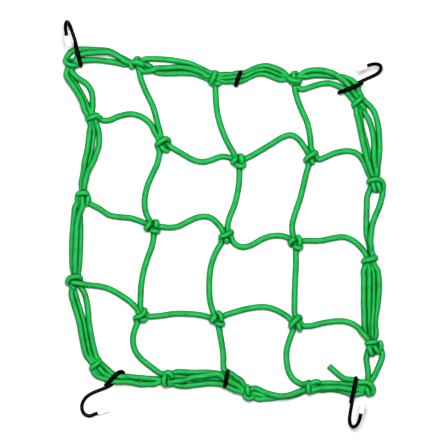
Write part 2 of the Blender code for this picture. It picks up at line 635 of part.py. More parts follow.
def build_hook(name, route, parts, helpers, finishes):
    """One bent wire hook and the sleeve on its free end."""
    length = float(np.linalg.norm(np.diff(route, axis=0), axis=1).sum())
    wire_end = length - SLEEVE_CAP - SLEEVE_GAP
    wire = cut_route(route, 0.0, wire_end)
    hook = tube(f"hook_{name}", thin_route(wire, WIRE_CHORD_ERROR), WIRE_RADIUS, parts)
    hook.data.materials.append(finishes["wire"])
    smooth(hook)
    outside = cut_route(route, length - SLEEVE_LENGTH, length)
    sleeve = tube(f"tip_{name}", thin_route(outside, WIRE_CHORD_ERROR), SLEEVE_DIAMETER / 2, parts)
    bore_route = cut_route(route, length - SLEEVE_LENGTH - BORE_OVERRUN, length - SLEEVE_CAP)
    bore_radius = WIRE_RADIUS + SLEEVE_GAP
    bore = tube(f"bore_{name}", thin_route(bore_route, WIRE_CHORD_ERROR), bore_radius, helpers)
    bore.hide_render = True
    bore.display_type = "WIRE"
    cut = sleeve.modifiers.new("bore", "BOOLEAN")
    cut.operation = "DIFFERENCE"
    cut.object = bore
    cut.solver = "EXACT"
    sleeve.data.materials.append(finishes["sleeve"])
    smooth(sleeve)


def build_ring(name, route, parts, finishes):
    """One wire ring whose two ends meet under the border."""
    ring = tube(name, thin_route(route, WIRE_CHORD_ERROR), WIRE_RADIUS, parts)
    ring.data.materials.append(finishes["wire"])
    smooth(ring)


def clear_scene():
    """Removes whatever the file held."""
    for made in list(bpy.data.objects):
        bpy.data.objects.remove(made)


def new_collection(name, parent):
    """An empty collection inside another."""
    made = bpy.data.collections.new(name)
    parent.children.link(made)
    return made


def main():
    """Builds the cargo net."""
    clear_scene()
    scene = bpy.context.scene.collection
    parts = new_collection("cargo_net", scene)
    cutters = new_collection("cutters", scene)
    finishes = {
        "cord": material("green_cord", (0.012, 0.42, 0.055), 0.6, 0.0),
        "wire": material("black_wire", (0.01, 0.01, 0.01), 0.3, 1.0),
        "sleeve": material("pale_sleeve", (0.75, 0.77, 0.75), 0.4, 0.0),
    }
    routes = {}
    for wire in HOOKS + RINGS:
        points = [plan_point(*point) for point in wire.route]
        routes[wire.name] = even_route(points, WIRE_STEP)
    strands = settle([strand_start(strand) for strand in STRANDS], list(routes.values()))
    build_net(strands, np.vstack(list(routes.values())), parts, cutters, finishes["cord"])
    for hook in HOOKS:
        build_hook(hook.name, routes[hook.name], parts, cutters, finishes)
    for ring in RINGS:
        build_ring(ring.name, routes[ring.name], parts, finishes)


if __name__ == "__main__":
    main()
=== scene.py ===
"""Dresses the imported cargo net: knotted elastic cord, bent wire hooks and rings, hook sleeves.

The tables are in millimetres on a plan sheet whose x runs right and whose y runs down, and
plan_point() turns them into the frame of the CAD: +X right, +Y up the sheet, +Z up, with the
origin under the centre knot, where the net rests. Meshes are in metres.
"""

import logging
import math
from dataclasses import dataclass, field
from enum import Enum
from typing import Iterable, NamedTuple, Optional, Sequence

import bmesh
import bpy
import numpy as np
from mathutils import Matrix, Vector


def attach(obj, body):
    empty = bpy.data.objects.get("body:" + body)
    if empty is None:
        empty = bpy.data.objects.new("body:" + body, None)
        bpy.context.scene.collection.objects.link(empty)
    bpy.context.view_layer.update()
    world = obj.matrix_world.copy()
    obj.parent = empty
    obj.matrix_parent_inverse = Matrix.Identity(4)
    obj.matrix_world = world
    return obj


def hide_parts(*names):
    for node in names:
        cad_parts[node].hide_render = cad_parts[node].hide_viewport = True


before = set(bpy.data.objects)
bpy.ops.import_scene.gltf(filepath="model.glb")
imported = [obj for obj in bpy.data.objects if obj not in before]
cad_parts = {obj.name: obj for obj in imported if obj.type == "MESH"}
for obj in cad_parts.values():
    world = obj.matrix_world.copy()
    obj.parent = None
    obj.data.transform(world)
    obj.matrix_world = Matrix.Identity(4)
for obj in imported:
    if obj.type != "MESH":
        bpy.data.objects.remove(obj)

LOG = logging.getLogger("cargo_net")

METRES = 0.001
PLAN_CENTRE = (226.3, 236.0)  # the centre knot on the plan sheet
PLAN_MIDDLE = (224.0, 224.0)  # the middle of the view on the plan sheet
VIEW_WIDTH = 448.0  # millimetres of the plan sheet that the view takes in
KNOT_HEART_HEIGHT = 4.7  # where the settled strands meet inside a knot
KNOT_FUSED_RADIUS = 10.5  # strands of one knot may run into each other inside this
WIRE_CLEARANCE = 1.08  # a wire's lowest middle line, in radii above the ground
WIRE_STEP = 0.6  # between the rings of edges of a wire
WIRE_SAMPLE_STEP = 1.5  # between the points of a wire that the cords settle against
CURVE_POINTS_PER_MM = 8  # of a smooth route
CUT_MARGIN = 0.1  # points of a route nearer than this to a cut are left out
CORD_SIDES = 18
TINY = 1e-6  # keeps a distance that is divided by above nothing

Points = np.ndarray
Colour = tuple[float, float, float]


class KnotFace(Enum):
    """Which side of a knot is up."""

    BAND = "band"
    CLOVER = "clover"


class Knot(NamedTuple):
    """A knot of the net: its place on the plan sheet, its face and its turn in degrees."""

    name: str
    x: float
    y: float
    face: KnotFace
    turn: float


class Strand(NamedTuple):
    """A length of cord between two knots, or from one knot to a cut end.

    level is 0 for a cord that lies on the ground and 1 for one that lies over its neighbours.
    width scales the cord's radius where it is pulled thin between them.
    """

    start: str
    end: str
    level: int
    via: tuple[tuple[float, float], ...]
    width: float = 1.0


class Wire(NamedTuple):
    """A bent wire: its name and its route as plan x, plan y and height."""

    name: str
    route: tuple[tuple[float, float, float], ...]


class Turn(NamedTuple):
    """One turn of cord in a knot: its points as plan x, plan y and height.

    width scales the cord's radius, because a turn under load is wider or thinner. On a plain
    underside the points are in the knot's own frame instead, x along its turn and y up.
    """

    width: float
    points: tuple[tuple[float, float, float], ...]


# The turns on the underside of a knot, by the face that is up.
UNDERSIDES: dict[KnotFace, tuple[Turn, ...]] = {
    KnotFace.CLOVER: (
        Turn(0.95, ((4, 1.4, 5.8), (5, 1.7, 4.5), (3.4, 2, 3.2), (0, 2.2, 2.75), (-3.4, 2.1, 3.1),
            (-5.1, 1.7, 4.3), (-5.1, -0.5, 5.2))),
        Turn(0.95, ((0.5, 0.9, 5), (0.5, -1.7, 4.1), (0.3, -4.1, 4.5), (0, -5.1, 5.6))),
    ),
    KnotFace.BAND: (
        Turn(0.95, ((-1.8, 2, 4.4), (-0.6, 2.5, 3.4), (2.5, 2.8, 3.3), (4.4, 2.3, 4.6), (5, 1, 5.8))),
        Turn(0.95, ((-5.5, 0.9, 5.8), (-5.6, 0, 4.3), (-4.2, -1.3, 3.2), (-2, -2.6, 3.5), (-0.4, -3, 5))),
        Turn(0.95, ((3.2, 0.4, 5.4), (3, -1.6, 3.8), (0.9, -3.9, 3.4), (-0.9, -5.7, 4), (-0.6, -6.4, 5.6))),
    ),
}

KNOTS: tuple[Knot, ...] = (
    Knot("TL", 71.5, 63, KnotFace.BAND, -24),
    Knot("T1", 137, 63.5, KnotFace.CLOVER, 10),
    Knot("T2", 213, 78, KnotFace.BAND, -107),
    Knot("T3", 294, 78, KnotFace.CLOVER, 0),
    Knot("TR", 357.5, 101, KnotFace.BAND, 39),
    Knot("R1", 376, 185, KnotFace.BAND, 16),
    Knot("R2", 370, 259, KnotFace.BAND, 24),
    Knot("R3", 373.5, 348, KnotFace.BAND, 7),
    Knot("BR", 366, 387, KnotFace.BAND, 62),
    Knot("B3", 310, 387, KnotFace.BAND, -77),
    Knot("B2", 248, 391, KnotFace.CLOVER, 90),
    Knot("B1", 167, 379, KnotFace.BAND, -84),
    Knot("BL", 96, 365, KnotFace.BAND, 42),
    Knot("L3", 74, 280, KnotFace.BAND, 15),
    Knot("L2", 83, 196, KnotFace.BAND, 0),
    Knot("L1", 94, 118.5, KnotFace.BAND, 14),
    Knot("M11", 162, 143.5, KnotFace.BAND, 22),
    Knot("M12", 238.5, 160.5, KnotFace.CLOVER, 0),
    Knot("M13", 310.7, 156.5, KnotFace.BAND, 29),
    Knot("M21", 152.5, 226.5, KnotFace.CLOVER, 0),
    Knot("M22", 226.3, 236, KnotFace.BAND, 22),
    Knot("M23", 295.5, 242, KnotFace.CLOVER, 0),
    Knot("M31", 140.5, 315, KnotFace.BAND, 28),
    Knot("M32", 217, 318.5, KnotFace.CLOVER, 0),
    Knot("M33", 295.5, 322, KnotFace.BAND, 37),
)

STRANDS: tuple[Strand, ...] = (
    # Rows, left to right.
    Strand("L1", "M11", 0, ((108, 120.7), (118.6, 116.4), (131.4, 114), (142, 117), (150.7, 124),
        (155, 132))),
    Strand("M11", "M12", 0, ((169.6, 146.5), (179.3, 152), (193.6, 160), (203, 162), (211.4, 160),
        (222, 156.4), (231, 158))),
    Strand("M12", "M13", 0, ((246.5, 158.2), (258, 152), (272, 143.6), (283, 137), (291.4, 135),
        (298.6, 139.3), (304.6, 147.5))),
    Strand("M13", "R1", 1, ((317, 160), (325.7, 157), (335, 153), (349, 151), (357, 153.6), (363, 160.7),
        (369, 173))),
    Strand("L2", "M21", 0, ((90, 203.6), (98.6, 208), (109.3, 215), (120, 217), (131, 218), (144, 222.6))),
    Strand("M21", "M22", 0, ((160.7, 226.7), (170, 227.5), (178, 226.4), (188, 221.4), (198.6, 217),
        (209.3, 217), (216.4, 222), (222, 229))),
    Strand("M22", "M23", 0, ((231.4, 240), (236.4, 245.2), (243.6, 247), (251.4, 245), (261.4, 239.3),
        (270.7, 236), (281.4, 235.7), (289, 238.2))),
    Strand("M23", "R2", 0, ((303, 240.7), (321, 240.5), (333, 238), (344.3, 237), (354.3, 241.4),
        (361.4, 248), (366, 254))),
    Strand("L3", "M31", 0, ((83.6, 284), (101.4, 286.4), (110, 289), (123, 296.4), (132.6, 303.7),
        (137.6, 309.5))),
    Strand("M31", "M32", 0, ((148, 316.4), (160, 315.7), (174.3, 313.6), (187, 313.6), (201.4, 315),
        (209, 317))),
    Strand("M32", "M33", 0, ((225, 315), (236.4, 311.4), (250, 308), (264.3, 306.8), (275, 309.3),
        (284.3, 314.3), (290, 318.2))),
    Strand("M33", "R3", 1, ((302, 325.7), (311, 325.7), (325, 322.4), (343, 321), (353.6, 324.3),
        (361.4, 330.7), (368.4, 340))),
    # Columns, top to bottom.
    Strand("T1", "M11", 0, ((139, 70), (141, 79), (145.7, 91), (153, 106.4), (157, 120.7), (160.3, 135))),
    Strand("M11", "M21", 0, ((160, 151.5), (157.6, 163), (152.4, 174.3), (147, 187.4), (144.6, 202),
        (146, 212.6), (149.5, 220))),
    Strand("M21", "M31", 0, ((153.8, 235), (152, 246), (148, 257), (144, 270), (141.4, 284), (140.6, 298.6),
        (140.4, 307))),
    Strand("M31", "B1", 0, ((137.6, 322.5), (134, 332), (133, 341.4), (135.4, 350.7), (141, 358.3),
        (149.3, 365.2), (160, 373.2))),
    Strand("T2", "M12", 0, ((215.2, 86), (215.7, 96.4), (216.6, 108), (219.5, 122), (225.7, 138.6),
        (233, 152))),
    Strand("M12", "M22", 0, ((239.4, 169), (239, 183), (237, 195.3), (234, 206.4), (229.6, 217),
        (227.2, 228))),
    Strand("M22", "M32", 0, ((221.6, 242.6), (215.5, 253), (211, 266), (209.3, 282), (210, 300),
        (213, 311))),
    Strand("M32", "B2", 0, ((218.6, 326.4), (221.4, 341.4), (223.4, 355.7), (223.4, 366), (225.4, 371.3),
        (230, 375), (236.4, 379), (243, 385))),
    Strand("T3", "M13", 0, ((295.2, 87), (297, 98), (302, 111), (307, 122.4), (310, 136.4), (310.9, 148))),
    Strand("M13", "M23", 0, ((309, 164), (306, 174), (303, 187), (299.6, 200), (295, 213.3), (292.2, 224.3),
        (292.6, 233.6))),
    Strand("M23", "M33", 0, ((295.8, 250.7), (295.8, 266), (295, 281), (294.5, 297), (294.5, 313))),
    Strand("M33", "B3", 0, ((293, 330), (289.3, 339.8), (286.6, 350), (286.6, 361.4), (288.8, 371.6),
        (293.4, 379), (301.4, 384))),
    # Top border.
    Strand("TL", "T1", 0, ((67.9, 58), (69.2, 54), (72.6, 51), (78, 50), (90, 50), (100, 50.5), (108, 50.9),
        (114, 53.6), (120, 57), (128, 62))),
    Strand("TL", "T1", 1, ((74.8, 61), (77.4, 57.2), (82, 54.4), (90, 52.8), (100, 52.4), (108, 52.2),
        (114, 54.2), (120, 58), (128, 62.4))),
    Strand("TL", "T1", 0, ((80, 61.4), (88, 60.4), (96, 60.2), (104, 60.9), (112, 62), (120, 63.4),
        (128, 64.4))),
    Strand("T1", "T2", 0, ((145, 59.3), (152, 59), (160, 59.2), (170, 60), (176, 60.8), (182, 62),
        (188, 63.7), (194, 65.8), (200, 68.2), (207, 71.8))),
    Strand("T1", "T2", 1, ((143, 71.6), (150, 70.6), (158, 68.8), (166, 68.1), (176, 67.4), (183, 67.3),
        (189, 68.6), (195, 70.6), (201, 73.4), (207, 76.8))),
    Strand("T1", "T2", 0, ((146.4, 64.6), (151, 67.8), (156, 71.6), (163, 73.4), (176, 73.4), (188, 72.9),
        (195, 73.2), (201, 75.2), (207, 78.4))),
    Strand("T2", "T3", 0, ((221, 75.3), (234, 75), (244, 73.2), (250, 70.9), (256, 68.2), (262, 66.7),
        (268, 67), (274, 69.6), (280, 72.6), (287, 76))),
    Strand("T2", "T3", 0, ((221, 81), (234, 80.8), (244, 79.6), (250, 76.6), (256, 73.7), (262, 73.1),
        (268, 73.9), (274, 75.6), (280, 77.4), (286, 79.4))),
    Strand("T2", "T3", 0, ((222, 78.4), (234, 77.8), (244, 76.8), (250, 74), (256, 71.2), (262, 70),
        (268, 70.4), (275, 73), (284, 77)), 0.7),
    Strand("T3", "TR", 1, ((302, 74.4), (308, 72), (314, 70.7), (320, 70.7), (326, 71.9), (332, 73.8),
        (338, 76.6), (344, 81), (350, 87.6), (355, 95))),
    Strand("T3", "TR", 0, ((302, 76.6), (308, 75.7), (314, 75), (320, 75), (328, 75.4), (336, 76.6),
        (344, 77.6), (350.4, 79.8), (356.6, 85.4), (358.6, 94))),
    Strand("T3", "TR", 0, ((299, 89.4), (304, 89.2), (310, 87.2), (316, 85.2), (322, 83.7), (328, 83.2),
        (334, 84.5), (340, 87.2), (345, 90.4), (350.5, 97))),
    # Right border.
    Strand("TR", "R1", 1, ((356.4, 110), (358.2, 118), (359.8, 126), (361.4, 134), (363, 142), (364.8, 150),
        (366.7, 158), (369.2, 166), (372, 173))),
    Strand("TR", "R1", 0, ((359, 109), (360.6, 118), (361.6, 126), (363.4, 134), (365.8, 142), (367.8, 150),
        (369.6, 158), (371.6, 166), (373.4, 173)), 0.75),
    Strand("TR", "R1", 1, ((361.4, 108.6), (364.6, 113.4), (367.8, 118), (370.6, 125), (372.9, 134),
        (373.9, 144), (374.1, 158), (374.9, 166), (375.6, 173))),
    Strand("TR", "R1", 0, ((366.4, 103), (371, 107.4), (374.6, 113), (377, 121), (378.6, 130), (379.3, 142),
        (379, 152), (377.6, 162), (376.4, 173))),
    Strand("R1", "R2", 0, ((369.4, 190.5), (366.9, 197), (366.6, 206), (366.3, 216), (366.2, 225),
        (367, 233.6), (368.4, 241), (370, 247.5))),
    Strand("R1", "R2", 1, ((382.6, 190), (381.4, 198.6), (378.6, 208), (374.9, 216.5), (372, 225),
        (370.1, 232.5), (369.4, 240), (370.6, 248))),
    Strand("R2", "R3", 0, ((364.8, 267), (364.2, 276), (364.1, 290), (364.1, 304), (364.5, 316),
        (365.4, 327), (368.4, 337))),
    Strand("R2", "R3", 0, ((369.2, 268), (369.4, 278), (369.8, 290), (369.9, 302), (369.5, 314),
        (369.2, 326), (370.4, 336))),
    Strand("R2", "R3", 0, ((371.4, 266), (373, 276), (372.6, 288), (372.6, 300), (372.6, 312), (371.6, 322),
        (371.6, 334)), 0.7),
    Strand("R2", "R3", 0, ((374, 265), (376.6, 270), (378.4, 276), (379, 284), (378.8, 292), (377.6, 300),
        (376.2, 309), (375.1, 319), (374.5, 328), (373.9, 337))),
    Strand("R3", "BR", 0, ((366.4, 355), (366.4, 361), (367.4, 368), (368.2, 376))),
    Strand("R3", "BR", 1, ((381.6, 351), (382, 357), (379.4, 364), (376.4, 371), (373.4, 377))),
    # Bottom border.
    Strand("BR", "B3", 0, ((357, 384.8), (349, 384.2), (339, 383.6), (330, 383), (320, 383.6))),
    Strand("BR", "B3", 1, ((357, 389), (349, 388), (342, 387.4), (333, 387.2), (325, 387.8), (317, 388.2))),
    Strand("BR", "B3", 0, ((360, 392.6), (353, 392.6), (346, 391.8), (338, 389.6), (330, 388.6),
        (319, 389.4))),
    Strand("BR", "", 0, ((357, 381.6), (350, 380.6), (343, 377.8), (335.7, 372), (328.6, 365.7))),
    Strand("B3", "B2", 1, ((301.6, 390.6), (294, 393.3), (288, 395.1), (280, 395.9), (272, 394.9),
        (266, 392.8), (260, 389.8), (254, 387.8))),
    Strand("B3", "B2", 0, ((301, 391.8), (294, 394.6), (288, 396), (280, 396.4), (272, 397.2), (264, 398.4),
        (257, 398.8))),
    Strand("B2", "B1", 0, ((243, 388.6), (236, 384), (231, 380.4), (226.6, 376.8), (221, 374), (214, 372.8),
        (206, 372.5), (196, 372.4), (184, 372), (175, 372.2))),
    Strand("B2", "B1", 1, ((243, 389.6), (236, 385.4), (231, 382.2), (226.2, 378.4), (221, 374.6),
        (216, 373.6), (210, 374.2), (204, 375.4), (198, 376.4), (192, 377.4), (186, 379.2), (180, 380.8),
        (173, 381.2))),
    Strand("B2", "B1", 0, ((240, 390), (233, 384.6), (226.4, 381), (219, 379.4), (211, 379.4), (201, 380),
        (191, 379), (184, 377), (174, 376.4)), 0.8),
    Strand("B2", "B1", 0, ((242, 391.8), (236, 387.6), (230.6, 385), (225.4, 383.4), (217, 382.6),
        (210, 382), (204, 382.4), (198, 384.2), (192, 385.1), (186, 386), (180, 385.3), (174, 383.4))),
    Strand("B1", "BL", 0, ((157, 380), (151, 379.2), (145, 378.1), (139, 377.4), (133, 377.8), (127, 377.6),
        (121, 376.6), (115, 374.8), (110, 371.4), (104.3, 366.2))),
    Strand("B1", "BL", 1, ((157, 382), (151, 383), (145, 384), (139, 384.1), (133, 381.8), (127, 379.4),
        (121, 380.2), (114, 381), (106.4, 379), (99.6, 375.4))),
    # Left border.
    Strand("BL", "L3", 0, ((89.4, 359), (86.2, 350), (84.2, 340), (82.3, 330), (80, 320), (77.4, 310),
        (74.6, 300), (72.6, 292))),
    Strand("BL", "L3", 0, ((92.4, 359), (89.6, 351), (87.2, 341), (85.4, 331), (83, 321), (79.4, 310),
        (76.2, 300), (74.4, 292)), 0.75),
    Strand("BL", "L3", 0, ((96.4, 357), (93.2, 350), (91, 341), (89.6, 332), (88.9, 322), (88.3, 311),
        (86.6, 300), (84.6, 293), (81.6, 288))),
    Strand("L3", "L2", 0, ((73.8, 271), (72.8, 262), (72.6, 246), (72.9, 236), (73.4, 226), (74.4, 215),
        (76.6, 205))),
    Strand("L3", "L2", 1, ((75, 271), (74.8, 264), (75.3, 255), (75.6, 245), (76.2, 235), (77.5, 225),
        (79.4, 215), (82.4, 206))),
    Strand("L3", "L2", 0, ((78.6, 271), (79.4, 264), (80, 255), (80.4, 244), (80.5, 234), (80.2, 222),
        (79.8, 212), (80.4, 205))),
    Strand("L2", "L1", 0, ((82.2, 186.4), (83.9, 180), (85.4, 172), (86.2, 164), (87.2, 156), (88.5, 148),
        (89.5, 140), (90.4, 132), (91.2, 126))),
    Strand("L2", "L1", 0, ((84.4, 184), (86.2, 174), (88.2, 164), (90.2, 156), (91.8, 148), (92.8, 140),
        (93.6, 132), (93.4, 126.6)), 0.7),
    Strand("L2", "L1", 1, ((84.8, 186), (86, 180), (88, 172), (91.4, 164), (95.4, 156), (98.5, 148),
        (99.5, 140), (98.9, 132), (97, 126))),
    Strand("L1", "TL", 1, ((86.6, 113), (85, 108), (83, 102), (79.9, 96), (76.4, 90), (72.2, 84), (68.7, 78),
        (67.2, 72))),
    Strand("L1", "TL", 0, ((89, 110), (87.4, 106), (85.2, 102), (82.3, 96), (79, 90), (75, 83.4), (71.6, 77),
        (70.4, 71))),
    Strand("L1", "TL", 1, ((91.6, 110), (92.4, 104), (92.8, 98), (92, 93), (90.2, 88.6), (86.8, 84.2),
        (82.2, 80.7), (77, 78.2), (73, 75.6), (70.6, 71))),
)

# Each hook's cut end, the eye over the border, the turn, the shank, the bend and the free leg.
HOOKS: tuple[Wire, ...] = (
    Wire("top_left", ((75.4, 43, 8.7), (77, 49, 11), (78.6, 55, 11.6), (80.2, 61.2, 10.2), (81.2, 66, 6.2),
        (80.3, 62.4, 2.1), (78.8, 56, 1.6), (77, 48, 1.6), (75, 40, 1.6), (72.1, 31.2, 2), (70.2, 26, 3.9),
        (68.7, 23, 7.8), (67.4, 22.4, 12.4), (66.6, 24.8, 16.8), (66.5, 29.6, 19.8), (67.2, 35, 21),
        (67.9, 39.2, 21.2), (70, 49, 21.4))),
    Wire("top_right", ((362.4, 83.2, 8.7), (356.4, 86, 10.5), (350.4, 88.6, 10.9), (344.4, 91, 10.4),
        (338.8, 92.9, 5.9), (343.4, 90.6, 2), (350, 87.1, 1.6), (357, 83.4, 1.6), (365, 79.6, 1.6),
        (372.6, 76.2, 2.2), (377.6, 73.4, 4.6), (380.4, 69.8, 8.8), (379.8, 66.4, 12.6), (376.3, 64.8, 15.2),
        (371.6, 65.1, 16.5), (367, 66.5, 17), (355, 71.3, 17.4))),
    Wire("bottom_right", ((350.2, 402.2, 8.8), (351.8, 396.4, 11.2), (353.3, 390, 13.4),
        (354.3, 384.5, 13.9), (355.2, 380.2, 12.2), (355.6, 377.4, 6.8), (355.3, 380, 2.1),
        (354.3, 386, 1.6), (353.1, 394.5, 1.6), (351.9, 402.5, 1.6), (350.2, 412.5, 1.7), (349.4, 419, 2.9),
        (350.2, 424, 6.6), (352.6, 426.2, 11.2), (355.8, 424.4, 15.6), (358.3, 419.6, 18.4),
        (360, 412.8, 19.4), (362.6, 400.5, 19.9))),
    Wire("bottom_left", ((105.2, 385.2, 8.9), (109.2, 381.6, 10.5), (113.8, 376.8, 10.9), (118, 372.8, 10.5),
        (121.4, 371.4, 8.6), (123.4, 372.8, 5.2), (121, 376, 2.1), (116.6, 380.6, 1.6), (108, 386.6, 1.6),
        (100, 389.8, 1.6), (92, 393.2, 1.6), (86, 397.4, 1.7), (82.5, 403.2, 2), (82.3, 409.6, 2.3),
        (85.4, 414.4, 2.5), (90, 415.6, 2.7), (95.7, 413.6, 2.7), (109.3, 409.3, 2.7))),
)

# Each ring is one bent wire whose two ends meet under the border.
RINGS: tuple[Wire, ...] = (
    Wire("ring_top", ((238.7, 76.8, 1.6), (239.7, 74.2, 2), (240.4, 72.4, 5.9), (239.8, 74.2, 9.6),
        (238.2, 78.2, 10.9), (236.8, 82.6, 9.6), (236, 85.4, 5.9), (236.7, 82.8, 2), (237.8, 79.2, 1.6))),
    Wire("ring_bottom", ((226.8, 377, 1.6), (227.3, 373.2, 2), (227.7, 371, 6.4), (227.3, 373, 13),
        (226.7, 376.4, 15.6), (225.8, 381.4, 13.4), (225.1, 384.8, 9.8), (224.9, 386.2, 5.8),
        (225.3, 384.4, 2), (226.3, 380, 1.6))),
)

KNOT_PLACES: dict[str, Knot] = {knot.name: knot for knot in KNOTS}

